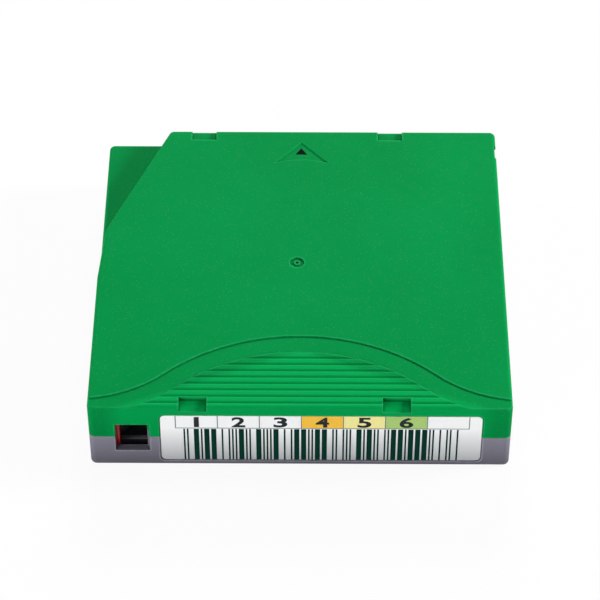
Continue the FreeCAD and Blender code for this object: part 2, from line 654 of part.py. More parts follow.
def bottom_shell(block):
    """Bottom shell: plate, walls, tongue, drive opening, seats, bosses and locating holes."""
    shell = block.common(box(-CASE_X, CASE_X, -CASE_Y, CASE_Y, -PAST, SEAM_Z))
    shell = shell.makeChamfer(SEAM_CHAMFER, level_edges(shell, SEAM_Z))
    shell = shell.cut(cavity())
    tongue = seam_ring(WALL / 2 + LIP_CLEAR / 2, WALL, SEAM_Z - PAST, SEAM_Z + LIP_H)
    seat = tube(OPENING_R, OPENING_R + SEAT_W, PLATE / 2, PLATE + SEAT_H, REEL_X, REEL_Y)
    guides = [slider_rail(), slider_stop(PLATE / 2, SEAM_Z - LIP_CLEAR)]
    bosses = [rod(BOSS_R, PLATE / 2, BOSS_JOINT_Z, x, y) for x, y in SCREWS]
    fork_back = PIN_Y + PIN_FLANGE_R + 2 * FIT + 2 * FORK_T
    fork_post = box(PIN_X - FORK_W / 2, PIN_X + FORK_W / 2, fork_back, BACK_Y - WALL / 2, PLATE / 2, SEAM_Z)
    shell = fuse(shell, [tongue, seat, fork_post, spring_seat()] + guides + bosses + board_ribs()
                 + locating_bosses() + door_rails()[0])
    cuts = [rod(OPENING_R, -PAST, PLATE + SEAT_H + PAST, REEL_X, REEL_Y)]
    for x, y in SCREWS:
        cuts.append(rod(SCREW_HEAD_R + SCREW_CLEAR, -PAST, SCREW_SINK + SCREW_HEAD_H, x, y))
        cuts.append(rod(SCREW_R + SCREW_CLEAR, -PAST, BOSS_JOINT_Z + PAST, x, y))
    cuts += door_channel() + pin_seats() + locating_holes()
    cuts += [mirrored_z(back_notch(x)) for x in notch_places()]
    return shell.cut(cuts + [window_box(), label_recess()])


# ---- door, slider, label, board, screws ------------------------------------------------------------------
def access_door():
    """Sliding door: plate, catch for the opener, and the lug that carries its spring."""
    y0 = DOOR_Y0 - DOOR_LAP[0]
    y1 = DOOR_Y1 + DOOR_LAP[1]
    z0 = PLATE - DOOR_GROOVE + SLIDE
    plate = box(DOOR_IN_X, DOOR_OUT_X, y0, y1, z0, CASE_Z - z0)
    upright = [e for e in plate.Edges if e.BoundBox.ZLength > PLATE * 2]
    plate = plate.makeFillet(DOOR_T / 4, upright)
    lug_z = MID_Z - LUG[1] / 2
    lug = box(SPRING_X - DOOR_SPRING_R, DOOR_IN_X + EPS * 100, y0, y0 + LUG[0], lug_z, lug_z + LUG[1])
    nub = Part.makeCylinder(NUB_R, NUB_L, V(SPRING_X, y0, MID_Z), V(0, -1, 0))
    length, height, depth = CATCH
    catch_y = DOOR_Y1 - SLIDE - 2 * length
    catch = box(DOOR_OUT_X - depth, DOOR_OUT_X + PAST, catch_y, catch_y + length, MID_Z - height / 2,
                MID_Z + height / 2)
    return fuse(plate, [lug, nub]).cut(catch)


def coil(mean_r, wire, length, turns):
    """A coil spring about Z from Z = 0, of six-sided wire so that its faces stay few."""
    height = length - wire
    helix = Part.makeHelix(height / turns, height, mean_r)
    around = [math.tau * (i + 0.5) / WIRE_SIDES for i in range(WIRE_SIDES)]
    corners = [V(mean_r + wire / 2 * math.cos(a), 0, wire / 2 * math.sin(a)) for a in around]
    section = Part.makePolygon(corners + corners[:1])
    spring = Part.Wire(helix.Edges).makePipeShell([section], True, True)
    spring.translate(V(0, 0, wire / 2))
    return spring


def door_spring():
    """Coil between the seat of the bottom shell and the lug of the door."""
    clear = SLIDE / 2
    length = DOOR_Y0 - DOOR_LAP[0] - SPRING_SEAT_Y - 2 * clear
    spring = coil(DOOR_SPRING_R, DOOR_SPRING_WIRE, length, DOOR_SPRING_TURNS)
    spring.rotate(V(0, 0, 0), V(1, 0, 0), -90)
    spring.translate(V(SPRING_X, SPRING_SEAT_Y + clear, MID_Z))
    return spring


def write_protect_slider():
    """Block behind the label wall, with grip ridges on the strip that shows."""
    x0 = -SIDE_X + WALL + FIT
    x1 = SLIDER_X1
    y0 = FRONT_Y + WALL + SLIDE
    z0 = PLATE + FIT
    body = box(x0, x1, y0, y0 + SLIDER_T, z0, ROOF_Z - FIT)
    hollow = box(x0 + SLIDER_WALL, x1 - SLIDER_WALL, y0 + SLIDER_WALL, y0 + SLIDER_T + PAST,
                 z0 + SLIDER_RIM, ROOF_Z - FIT - SLIDER_RIM)
    grooves = []
    for i in range(1, RIDGES):
        right = x1 - 2 * i * RIDGE_W
        grooves.append(box(right - RIDGE_W, right, y0 - PAST, y0 + RIDGE_W, z0 - PAST, ROOF_Z))
    return body.cut([hollow] + grooves)


def barcode_label():
    """Stuck label in its recess, a thin rounded sheet."""
    half_x = LABEL_X / 2
    half_z = LABEL_Z / 2
    sheet = prism(rounded([(-half_x, -half_z, LABEL_R), (half_x, -half_z, LABEL_R),
                           (half_x, half_z, LABEL_R), (-half_x, half_z, LABEL_R)]), 0, LABEL_T)
    sheet.rotate(V(0, 0, 0), V(1, 0, 0), -90)
    sheet.translate(V(LABEL_MID_X, FRONT_Y + LABEL_RECESS - LABEL_T, LABEL_MID_Z))
    return sheet


def on_board(shape):
    """Moves a shape made flat at Z = 0 onto the plane of the ribs, at 45 degrees."""
    middle = (BOARD_FOOT - WALL) / 2 + WALL / 2
    shape.rotate(V(0, 0, 0), V(1, 0, 0), -45)
    shape.translate(V(BOARD_MID_X, FRONT_Y + WALL + BOARD_FOOT - middle, PLATE + middle))
    return shape


def memory_board():
    """Small circuit board that lies on the slanted ribs."""
    length, width, thick = BOARD
    return on_board(box(-length / 2, length / 2, -width / 2, width / 2, 0, thick))


def memory_chip_cap():
    """Domed sealing cap over the chip on the board."""
    cap = Part.makeCylinder(CHIP_R, CHIP_H, V(0, 0, BOARD[2]))
    top = [e for e in level_edges(cap, BOARD[2] + CHIP_H)]
    return on_board(cap.makeFillet(CHIP_H * 0.7, top))


def case_screws():
    """Four countersunk screws with crossed slots, driven from below."""
    screws = []
    z0 = SCREW_SINK
    z1 = SCREW_SINK + SCREW_HEAD_H
    rim = z0 + SCREW_RIM
    tip_r, taper = SCREW_TIP
    length, width = (size / 2 for size in SCREW_SLOT)
    for x, y in SCREWS:
        screw = revolved([(0, z0), (SCREW_HEAD_R, z0), (SCREW_HEAD_R, rim), (SCREW_R, z1),
                          (SCREW_R, SCREW_TOP - taper), (tip_r, SCREW_TOP), (0, SCREW_TOP)], x, y)
        slot = box(x - length, x + length, y - width, y + width, z0 - PAST, rim)
        cross = box(x - width, x + width, y - length, y + length, z0 - PAST, rim)
        screws.append(screw.cut(slot.fuse(cross)))
    return Part.makeCompound(screws)


# ---- leader ----------------------------------------------------------------------------------------------
def leader_pin():
    """Turned pin with a flange at each end, seated in both plates."""
    z0 = PLATE - PIN_SEAT + PIN_SEAT_CLEAR
    z1 = CASE_Z - z0
    return revolved([(0, z0), (PIN_FLANGE_R - PIN_EDGE, z0), (PIN_FLANGE_R, z0 + PIN_EDGE),
                     (PIN_FLANGE_R, z0 + PIN_FLANGE_T), (PIN_R, z0 + PIN_FLANGE_T + PIN_EDGE),
                     (PIN_R, z1 - PIN_FLANGE_T - PIN_EDGE), (PIN_FLANGE_R, z1 - PIN_FLANGE_T),
                     (PIN_FLANGE_R, z1 - PIN_EDGE), (PIN_FLANGE_R - PIN_EDGE, z1), (0, z1)], PIN_X, PIN_Y)


def clip_span():
    """Lowest and highest point of the clip on the pin."""
    return TAPE_Z - CLIP_MARGIN, TAPE_Z + TAPE_W + CLIP_MARGIN


def leader_pin_clip():
    """C-shaped sleeve that grips the end of the tape on the pin."""
    z0, z1 = clip_span()
    sleeve = tube(PIN_R + CORE_CLEAR, CLIP_R, z0, z1, PIN_X, PIN_Y)
    y0 = PIN_Y - CLIP_GAP_W / 2
    mouth = box(PIN_X, PIN_X + CLIP_R + PAST, y0, y0 + CLIP_GAP_W, z0 - PAST, z1 + PAST)
    return sleeve.cut(mouth)


def edges_along_x(solid, y):
    """The edges of a block that run along X at one Y."""
    return [e for e in solid.Edges if e.BoundBox.XLength > FORK_W / 2 and abs(e.BoundBox.YMin - y) < EPS * 10]


def leader_pin_spring():
    """Bent sheet-metal strip: a back and two forked arms that hold the necks of the pin."""
    y1 = PIN_Y + PIN_FLANGE_R + 2 * FIT + 2 * FORK_T
    x0 = PIN_X - FORK_TO_PIN
    x1 = x0 + FORK_W
    z0 = PLATE + FORK_Z
    z1 = CASE_Z - z0
    y0 = PIN_Y - FORK_REACH
    outer = box(x0, x1, y0 - PAST, y1, z0, z1)
    outer = outer.makeFillet(2 * FORK_T, edges_along_x(outer, y1))
    inner = box(x0 - PAST, x1 + PAST, y0 - 2 * PAST, y1 - FORK_T, z0 + FORK_T, z1 - FORK_T)
    inner = inner.makeFillet(FORK_T, edges_along_x(inner, y1 - FORK_T))
    reach = PIN_R + PIN_SEAT_CLEAR
    slot = rod(reach, z0 - PAST, z1 + PAST, PIN_X, PIN_Y)
    mouth = box(PIN_X, x1 + PAST, PIN_Y - reach, PIN_Y + reach, z0 - PAST, z1 + PAST)
    trim = box(x0 - PAST, x1 + PAST, y0 - 2 * PAST, y0, z0 - PAST, z1 + PAST)
    return outer.cut([inner, slot, mouth, trim])


def tape_lead():
    """Free stretch of the tape from the clip to just short of the pack, as a thin strip."""
    start = V(PIN_X, PIN_Y - CLIP_R - FILM_T / 2, 0)
    axis = V(REEL_X, REEL_Y, 0)
    away = start.sub(axis)
    radius = PACK_R + PACK_CLEAR
    angle = math.atan2(away.y, away.x) - math.acos(radius / away.Length)
    end = axis.add(V(math.cos(angle), math.sin(angle), 0) * radius)
    run = end.sub(start)
    strip = box(-FILM_T / 2, FILM_T / 2, 0, run.Length, TAPE_Z, TAPE_Z + TAPE_W)
    strip.rotate(V(0, 0, 0), V(0, 0, 1), math.degrees(math.atan2(run.y, run.x)) - 90)
    strip.translate(start)
    return strip


# ---- reel and brake --------------------------------------------------------------------------------------
def wedges(count, chosen, radii, half, height, z, up):
    """Radial V-shaped bars round Z, as tooth gaps or teeth; up is 1 or -1."""
    inner, outer = radii
    step = 360.0 / count
    bars = []
    for i in chosen:
        points = [V(inner, -half, z), V(inner, half, z), V(inner, 0, z + up * height)]
        bar = Part.Face(Part.makePolygon(points + [points[0]])).extrude(V(outer - inner, 0, 0))
        bar.rotate(V(0, 0, 0), V(0, 0, 1), i * step)
        bars.append(bar)
    return bars


def leg_angles():
    """Directions of the legs of the release pad, in degrees."""
    return [360.0 / LEG_COUNT * i for i in range(LEG_COUNT)]


def turned(shape, angle):
    """A copy of a shape, turned about Z."""
    copy = shape.copy()
    copy.rotate(V(0, 0, 0), V(0, 0, 1), angle)
    return copy


def segment_teeth():
    """Numbers of the tooth gaps in the three brake segments of the hub."""
    per_leg = BRAKE_TEETH // LEG_COUNT
    start = (per_leg - SEGMENT_TEETH) // 2
    return [leg * per_leg + start + i for leg in range(LEG_COUNT) for i in range(SEGMENT_TEETH + 1)]


def brake_segments():
    """Three toothed arcs on the web of the hub, between the arms of the release pad."""
    ring = tube(BRAKE_RING[0], BRAKE_RING[1], WEB_TOP - WEB_T / 2, CREST_Z)
    step = 360.0 / BRAKE_TEETH
    spread = (BRAKE_TEETH // LEG_COUNT - SEGMENT_TEETH) * step / 2
    reach = BRAKE_RING[1] * 1.5
    gaps = []
    for angle in leg_angles():
        side = V(reach * math.cos(math.radians(spread)), reach * math.sin(math.radians(spread)), 0)
        wedge = Part.makePolygon([V(0, 0, 0), V(side.x, -side.y, 0), V(side.x, side.y, 0), V(0, 0, 0)])
        gaps.append(turned(prism(wedge, WEB_TOP, CREST_Z + PAST), angle))
    span = (BRAKE_RING[0] - PAST, BRAKE_RING[1] + PAST)
    cutters = wedges(BRAKE_TEETH, segment_teeth(), span, TOOTH_HALF, TOOTH_H, CREST_Z, -1)
    return ring.cut(gaps + cutters)


def drive_ring():
    """Ring of radial teeth under the hub that the drive's spindle meets."""
    z0 = WEB_Z - DRIVE_RING_H - TOOTH_H
    ring = tube(DRIVE_RING[0], DRIVE_RING[1], z0, WEB_Z + WEB_T / 2)
    span = (DRIVE_RING[0] - PAST, DRIVE_RING[1] + PAST)
    cutters = wedges(DRIVE_TEETH, range(DRIVE_TEETH), span, TOOTH_HALF, TOOTH_H, z0, 1)
    return ring.cut(cutters)


def reel_hub():
    """Hub with its lower flange, web, drive teeth and brake segments, as one moulding."""
    top = UPPER_FLANGE_Z
    z0 = LOWER_FLANGE_Z
    z1 = z0 + FLANGE_T
    bore = HUB_R - HUB_WALL
    body = revolved([(WEB_HOLE_R, WEB_Z), (OPENING_R + SEAT_W / 4, WEB_Z), (OPENING_R + SEAT_W / 4, z0),
                     (FLANGE_R, z0), (FLANGE_R, z1), (HUB_R, z1), (HUB_R, top), (bore, top), (bore, WEB_TOP),
                     (WEB_HOLE_R, WEB_TOP)])
    body = fuse(body, [drive_ring(), brake_segments()])
    hole = rod(LEG_R + LEG_CLEAR, 0, WEB_TOP + CORE_CLEAR / 2, LEG_PITCH_R, 0)
    return at_reel(body.cut([turned(hole, angle) for angle in leg_angles()]))


def reel_upper_flange():
    """Separate flange, welded on the hub, with the spigot that centres it."""
    bore = HUB_R - HUB_WALL - CORE_CLEAR
    z0 = UPPER_FLANGE_Z
    inner = bore - HUB_WALL / 2
    return at_reel(revolved([(inner, z0 - SPIGOT_H), (bore, z0 - SPIGOT_H), (bore, z0), (FLANGE_R, z0),
                             (FLANGE_R, z0 + FLANGE_T), (inner, z0 + FLANGE_T)]))


def reel_drive_plate():
    """Steel ring under the web, held by the magnet of the drive."""
    edge = DISC_T / 4
    inner, outer = DISC_R
    z0 = WEB_Z - DISC_T
    return at_reel(revolved([(inner + edge, z0), (outer - edge, z0), (outer, z0 + edge), (outer, WEB_Z),
                             (inner, WEB_Z), (inner, z0 + edge)]))


def tape_pack():
    """All the wound turns of the tape as one ring."""
    return tube(HUB_R + CORE_CLEAR, PACK_R, TAPE_Z, TAPE_Z + TAPE_W, REEL_X, REEL_Y)


def brake_button():
    """Brake button: toothed ring, plate and socket for the cross post."""
    inner, outer = BRAKE_RING
    dish = BRAKE_FACE_Z + BRAKE_STEP
    body = revolved([(0, dish), (inner - FIT, dish), (inner, BRAKE_FACE_Z),
                     (outer, BRAKE_FACE_Z), (outer + FIT, BRAKE_FACE_Z + FIT), (outer + FIT, BRAKE_TOP_Z),
                     (SOCKET_R, BRAKE_TOP_Z), (SOCKET_R, SOCKET_TOP), (0, SOCKET_TOP)])
    tip_z = PAD_TOP + FIT
    tip = revolved([(0, tip_z), (TIP_R[0], tip_z), (TIP_R[1], dish + EPS), (0, dish + EPS)])
    half = TOOTH_HALF * RIDGE_H / TOOTH_H
    span = (inner + EPS, outer - EPS)
    ridges = wedges(BRAKE_TEETH, range(BRAKE_TEETH), span, half, RIDGE_H, BRAKE_FACE_Z, -1)
    w = POST_W / 2 + POST_CLEAR
    t = POST_T / 2 + POST_CLEAR
    floor = POST_TIP_Z - BRAKE_TRAVEL - FIT
    socket = box(-w, w, -t, t, floor, CASE_Z).fuse(box(-t, t, -w, w, floor, CASE_Z))
    return at_reel(fuse(body, [tip] + ridges).cut(socket))


def brake_spring():
    """Coil that presses the brake button down."""
    length = ROOF_Z - BRAKE_TOP_Z - 2 * SPRING_END_CLEAR
    spring = coil(SPRING_R, SPRING_WIRE, length, SPRING_TURNS)
    spring.translate(V(0, 0, BRAKE_TOP_Z + SPRING_END_CLEAR))
    return at_reel(spring)


def release_pad():
    """Three-armed pad whose legs reach down through the drive ring."""
    disc = rod(PAD_R, PAD_Z, PAD_TOP)
    arm = box(0, LEG_PITCH_R, -PAD_ARM_W / 2, PAD_ARM_W / 2, PAD_Z, PAD_TOP)
    leg = rod(LEG_R, PAD_REACH, PAD_TOP, LEG_PITCH_R, 0)
    leg = leg.makeChamfer(PAD_CHAMFER, level_edges(leg, PAD_REACH))
    arms = [turned(arm.fuse(leg), angle) for angle in leg_angles()]
    return at_reel(fuse(disc, arms))


# ---- write the parts -------------------------------------------------------------------------------------
def main():
    """Builds every node and writes it to parts."""
    os.makedirs("parts", exist_ok=True)
    block = case_block()
    nodes = {
        "top_shell": top_shell(block),
        "bottom_shell": bottom_shell(block),
        "access_door": access_door(),
        "door_spring": door_spring(),
        "write_protect_slider": write_protect_slider(),
        "barcode_label": barcode_label(),
        "memory_board": memory_board(),
        "memory_chip_cap": memory_chip_cap(),
        "case_screws": case_screws(),
        "leader_pin": leader_pin(),
        "leader_pin_clip": leader_pin_clip(),
        "leader_pin_spring": leader_pin_spring(),
        "tape_lead": tape_lead(),
        "reel_hub": reel_hub(),
        "reel_upper_flange": reel_upper_flange(),
        "reel_drive_plate": reel_drive_plate(),
        "tape_pack": tape_pack(),
        "brake_button": brake_button(),
        "brake_spring": brake_spring(),
        "release_pad": release_pad(),
    }
    for name, shape in nodes.items():
        shape.exportStep("parts/" + name + ".step")
        box_ = shape.BoundBox
        print("%-22s solids %d valid %s volume %9.2f  x %7.2f %7.2f  y %7.2f %7.2f  z %6.2f %6.2f" % (
            name, len(shape.Solids), shape.isValid(), shape.Volume,
            box_.XMin, box_.XMax, box_.YMin, box_.YMax, box_.ZMin, box_.ZMax))


main()
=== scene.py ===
"""Looks of a half-inch data tape cartridge, built around its packed construction.

Every length is in metres, in the frame of the construction: X runs along the label, Y towards the loading
end and Z up, from the bottom centre of the case. Each sub-assembly is a class that holds its own sizes,
builds the pieces that the construction leaves out, and dresses the nodes that it brings.
"""

import logging
import math
import random
from abc import ABC, abstractmethod
from dataclasses import dataclass
from enum import Enum
from typing import Iterable, Sequence

import bmesh
import bpy
from mathutils import Matrix, Vector


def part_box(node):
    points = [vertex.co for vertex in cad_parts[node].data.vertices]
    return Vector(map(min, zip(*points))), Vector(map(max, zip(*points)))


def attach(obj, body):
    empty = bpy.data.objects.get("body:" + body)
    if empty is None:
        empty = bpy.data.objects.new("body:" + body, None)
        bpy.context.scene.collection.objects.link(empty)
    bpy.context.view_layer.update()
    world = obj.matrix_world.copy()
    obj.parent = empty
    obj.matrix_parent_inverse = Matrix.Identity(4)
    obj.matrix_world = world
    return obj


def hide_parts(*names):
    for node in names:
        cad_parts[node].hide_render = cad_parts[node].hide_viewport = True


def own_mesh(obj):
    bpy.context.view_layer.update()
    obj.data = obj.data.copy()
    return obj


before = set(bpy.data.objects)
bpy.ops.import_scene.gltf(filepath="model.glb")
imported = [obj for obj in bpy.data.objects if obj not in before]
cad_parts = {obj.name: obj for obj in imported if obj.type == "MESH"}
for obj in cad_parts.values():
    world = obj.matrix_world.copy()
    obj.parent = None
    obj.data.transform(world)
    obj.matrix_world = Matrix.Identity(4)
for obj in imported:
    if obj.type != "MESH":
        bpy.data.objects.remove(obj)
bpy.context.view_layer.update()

LOG = logging.getLogger("cartridge")
MM = 0.001

Socket = bpy.types.NodeSocket
Colour = tuple[float, float, float]
Triple = tuple[float, float, float]
Span = tuple[float, float]

BLACK: Colour = (0.0, 0.0, 0.0)
WHITE: Colour = (1.0, 1.0, 1.0)
ORIGIN: Triple = (0.0, 0.0, 0.0)
EVEN: Triple = (1.0, 1.0, 1.0)
FULL: Span = (0.0, 1.0)
FALLING: Span = (1.0, 0.0)


class Body(Enum):
    """Bodies of the construction that carry added pieces."""

    CASE = "case"


class Slot(Enum):
    """Material slots of the record; nothing here reads them."""

    TOP = "top_shell"
    LABEL = "label_paper"
    BOARD = "circuit_board"
    SPRING = "spring_steel"


class Lay(Enum):
    """Direction in which a metal surface was worked."""

    ROUND = "round"
    ALONG_X = "along_x"
    ALONG_Z = "along_z"


# ---- materials --------
RANGE_KEYS = ("From Min", "From Max", "To Min", "To Max")
MIX_FIRST, MIX_SECOND, MIX_COLOUR = 6, 7, 2  # colour sockets of a mix node
WAVE_SCALE = math.pi / 10  # scale at which a wave texture repeats every metre
SMOOTH, CLOUDY = 2.0, 3.0  # finer layers in a noise
MIDDLE: Span = (0.3, 0.7)  # where nearly all values of a noise lie
WIDE: Span = (0.2, 0.8)
EDGE_SAMPLES, NEARNESS_SAMPLES = 6, 8
EDGE_TURN: Span = (0.99, 0.80)  # cosine between the flat and the rounded normal, from open surface to edge
OUTER_EDGE: Span = (0.84, 0.985)  # open share of the surroundings inside the solid, from edge to open surface
HOLLOW_EDGE: Span = (0.60, 0.97)  # the same outside the solid
SPECK_RIM: Span = (0.5, 1.5)  # where a speck starts and stops fading, in radii of a speck
SHARE_STEP = 0.02  # soft step between the places that hold a speck and the rest


class NodeBoard:
    """Node tree of one material, laid round its surface shader."""

    def __init__(self, name: str) -> None:
        """Starts a material with an empty surface shader.

        Args:
            name: Name of the material.
        """
        self.material = bpy.data.materials.new(name)
        self.material.use_nodes = True
        self.tree = self.material.node_tree
        self.tree.nodes.clear()
        self.output = self.add("ShaderNodeOutputMaterial")
        self.shader = self.add("ShaderNodeBsdfPrincipled")
        self.join(self.shader.outputs[0], self.output.inputs[0])
        self.place = self.add("ShaderNodeTexCoord").outputs["Object"]

    def add(self, kind: str, **settings: object) -> bpy.types.Node:
        """Adds a node.

        Args:
            kind: Blender's name of the node type.
            **settings: Attributes of the node.

        Returns:
            The new node.
        """
        node = self.tree.nodes.new(kind)
        for key, value in settings.items():
            setattr(node, key, value)
        return node

    def join(self, source: Socket, target: Socket) -> None:
        """Links an output to an input."""
        self.tree.links.new(source, target)

    def feed(self, target: Socket, value: Socket | Colour | float) -> None:
        """Links a socket to an input, or sets the input to a plain value.

        Args:
            target: Input socket.
            value: An output socket, a number or a colour.
        """
        if isinstance(value, bpy.types.NodeSocket):
            self.join(value, target)
        elif isinstance(value, tuple) and len(target.default_value) == 4:
            target.default_value = (*value, 1.0)
        else:
            target.default_value = value

    def surface(self, colour: Socket, roughness: Socket, normal: Socket, **plain: float) -> None:
        """Connects the surface shader.

        Args:
            colour: Base colour.
            roughness: Roughness.
            normal: Normal.
            **plain: Sockets that are the same all over the surface, with _ for a space, and their values.
        """
        for key, value in (("Base Color", colour), ("Roughness", roughness), ("Normal", normal)):
            self.join(value, self.shader.inputs[key])
        for key, value in plain.items():
            self.feed(self.shader.inputs[key.replace("_", " ")], value)

    def stretched(self, scale: Triple, centre: Triple = ORIGIN) -> Socket:
        """Scales the surface position along each axis.

        Args:
            scale: Factor along each axis.
            centre: Point that the position is counted from.

        Returns:
            The scaled position.
        """
        node = self.add("ShaderNodeMapping")
        node.inputs["Scale"].default_value = scale
        node.inputs["Location"].default_value = tuple(-c * s for c, s in zip(centre, scale))
        self.join(self.place, node.inputs["Vector"])
        return node.outputs["Vector"]

    def along(self, axis: str) -> Socket:
        """Reads one coordinate of the surface position.

        Args:
            axis: X, Y or Z.

        Returns:
            The coordinate.
        """
        split = self.add("ShaderNodeSeparateXYZ")
        self.join(self.place, split.inputs[0])
        return split.outputs[axis]

    def noise(self, size: float, detail: float = SMOOTH, stretch: Triple = EVEN) -> Socket:
        """Adds soft noise.

        Args:
            size: Size of its patches.
            detail: Number of finer layers.
            stretch: Scale of the surface position along each axis.

        Returns:
            The noise, from 0 to 1.
        """
        node = self.add("ShaderNodeTexNoise")
        node.inputs["Scale"].default_value = 1.0 / size
        node.inputs["Detail"].default_value = detail
        self.join(self.stretched(stretch), node.inputs["Vector"])
        return node.outputs["Fac"]

    def level(self, value: Socket, window: Span, span: Span = FULL) -> Socket:
        """Maps a value from a window to a span and clamps it.

        Args:
            value: Socket to map.
            window: Values that become the ends of the span.
            span: Results at the ends of the window.

        Returns:
            The mapped value.
        """
        node = self.add("ShaderNodeMapRange")
        self.join(value, node.inputs["Value"])
        for key, number in zip(RANGE_KEYS, (*window, *span)):
            node.inputs[key].default_value = number
        return node.outputs["Result"]

    def patches(self, size: float, detail: float, span: Span = FULL, stretch: Triple = EVEN) -> Socket:
        """Returns noise of a size and detail, with its middle values spread over a span."""
        return self.level(self.noise(size, detail, stretch), MIDDLE, span)

    def combine(self, operation: str, first: Socket | float, second: Socket | float) -> Socket:
        """Works out a plain operation on two values.

        Args:
            operation: Blender's name of the operation.
            first: A socket or a number.
            second: A socket or a number.

        Returns:
            The result.
        """
        node = self.add("ShaderNodeMath", operation=operation)
        self.feed(node.inputs[0], first)
        self.feed(node.inputs[1], second)
        return node.outputs[0]

    def mix(self, share: Socket, first: Socket | Colour, second: Socket | Colour) -> Socket:
        """Blends two colours.

        Args:
            share: How much of the second colour shows.
            first: Colour or socket at 0.
            second: Colour or socket at 1.

        Returns:
            The blended colour.
        """
        node = self.add("ShaderNodeMix", data_type="RGBA")
        self.join(share, node.inputs[0])
        self.feed(node.inputs[MIX_FIRST], first)
        self.feed(node.inputs[MIX_SECOND], second)
        return node.outputs[MIX_COLOUR]

    def specks(self, pitch: float, radius: float, share: float) -> Socket:
        """Adds scattered round specks.

        Args:
            pitch: Distance between neighbouring places for a speck.
            radius: Radius of a speck.
            share: Share of the places that hold one.

        Returns:
            1 inside a speck and 0 elsewhere.
        """
        node = self.add("ShaderNodeTexVoronoi")
        node.inputs["Scale"].default_value = 1.0 / pitch
        self.join(self.place, node.inputs["Vector"])
        split = self.add("ShaderNodeSeparateColor")
        self.join(node.outputs["Color"], split.inputs[0])
        inner, outer = (radii * radius / pitch for radii in SPECK_RIM)
        dot = self.level(node.outputs["Distance"], (inner, outer), FALLING)
        taken = self.level(split.outputs[0], (share, share + SHARE_STEP), FALLING)
        return self.combine("MULTIPLY", dot, taken)

    def soft_edges(self, radius: float) -> tuple[Socket, Socket]:
        """Rounds the shading of every edge.

        Args:
            radius: Radius of the rounding.

        Returns:
            The rounded normal, and how close the surface is to an edge, from 0 to 1.
        """
        bevel = self.add("ShaderNodeBevel", samples=EDGE_SAMPLES)
        bevel.inputs["Radius"].default_value = radius
        flat = self.add("ShaderNodeNewGeometry")
        dot = self.add("ShaderNodeVectorMath", operation="DOT_PRODUCT")
        self.join(bevel.outputs[0], dot.inputs[0])
        self.join(flat.outputs["True Normal"], dot.inputs[1])
        return bevel.outputs[0], self.level(dot.outputs["Value"], EDGE_TURN)

    def closeness(self, reach: float, inside: bool) -> Socket:
        """Tells how close the surface is to a hollow edge, or to an outer one.

        Args:
            reach: Distance over which an edge counts.
            inside: True for outer edges and False for hollow ones.

        Returns:
            0 on open surface, rising to 1 at such an edge.
        """
        node = self.add("ShaderNodeAmbientOcclusion", samples=NEARNESS_SAMPLES, inside=inside,
                        only_local=True)
        node.inputs["Distance"].default_value = reach
        return self.level(node.outputs["AO"], OUTER_EDGE if inside else HOLLOW_EDGE, FALLING)

    def relief(self, height: Socket, depth: float, normal: Socket | None = None) -> Socket:
        """Adds fine relief.

        Args:
            height: Height of the relief, from 0 to 1.
            depth: Real depth of the relief.
            normal: Normal that it starts from.

        Returns:
            The normal with the relief.
        """
        node = self.add("ShaderNodeBump")
        node.inputs["Strength"].default_value = 1.0
        node.inputs["Distance"].default_value = depth
        self.join(height, node.inputs["Height"])
        if normal is not None:
            self.join(normal, node.inputs["Normal"])
        return node.outputs["Normal"]

    def rings(self, centre: Triple, pitch: float) -> Socket:
        """Adds fine rings round an upright axis.

        Args:
            centre: A point of the axis.
            pitch: Distance from ring to ring.

        Returns:
            The rings, from 0 to 1.
        """
        node = self.add("ShaderNodeTexWave", wave_type="RINGS", rings_direction="Z")
        node.inputs["Scale"].default_value = WAVE_SCALE / pitch
        node.inputs["Distortion"].default_value = 0.0
        self.join(self.stretched(EVEN, centre), node.inputs["Vector"])
        return node.outputs["Fac"]


def scaled(colour: Colour, factor: float, lift: float = 0.0) -> Colour:
    """Returns a brighter or darker colour, no brighter than white."""
    return tuple(min(1.0, c * factor + lift) for c in colour)


@dataclass(frozen=True)
class Finish(ABC):
    """Surface finish whose colour drifts to a second shade. Each kind paints its own node tree."""

    name: str
    colour: Colour
    shade: Colour

    @abstractmethod
    def paint(self, board: NodeBoard) -> None:
        """Lays the nodes of the finish on a board.

        Args:
            board: Board of the material.
        """

    def material(self) -> bpy.types.Material:
        """Builds the material.

        Returns:
            The material.
        """
        board = NodeBoard(self.name)
        self.paint(board)
        return board.material


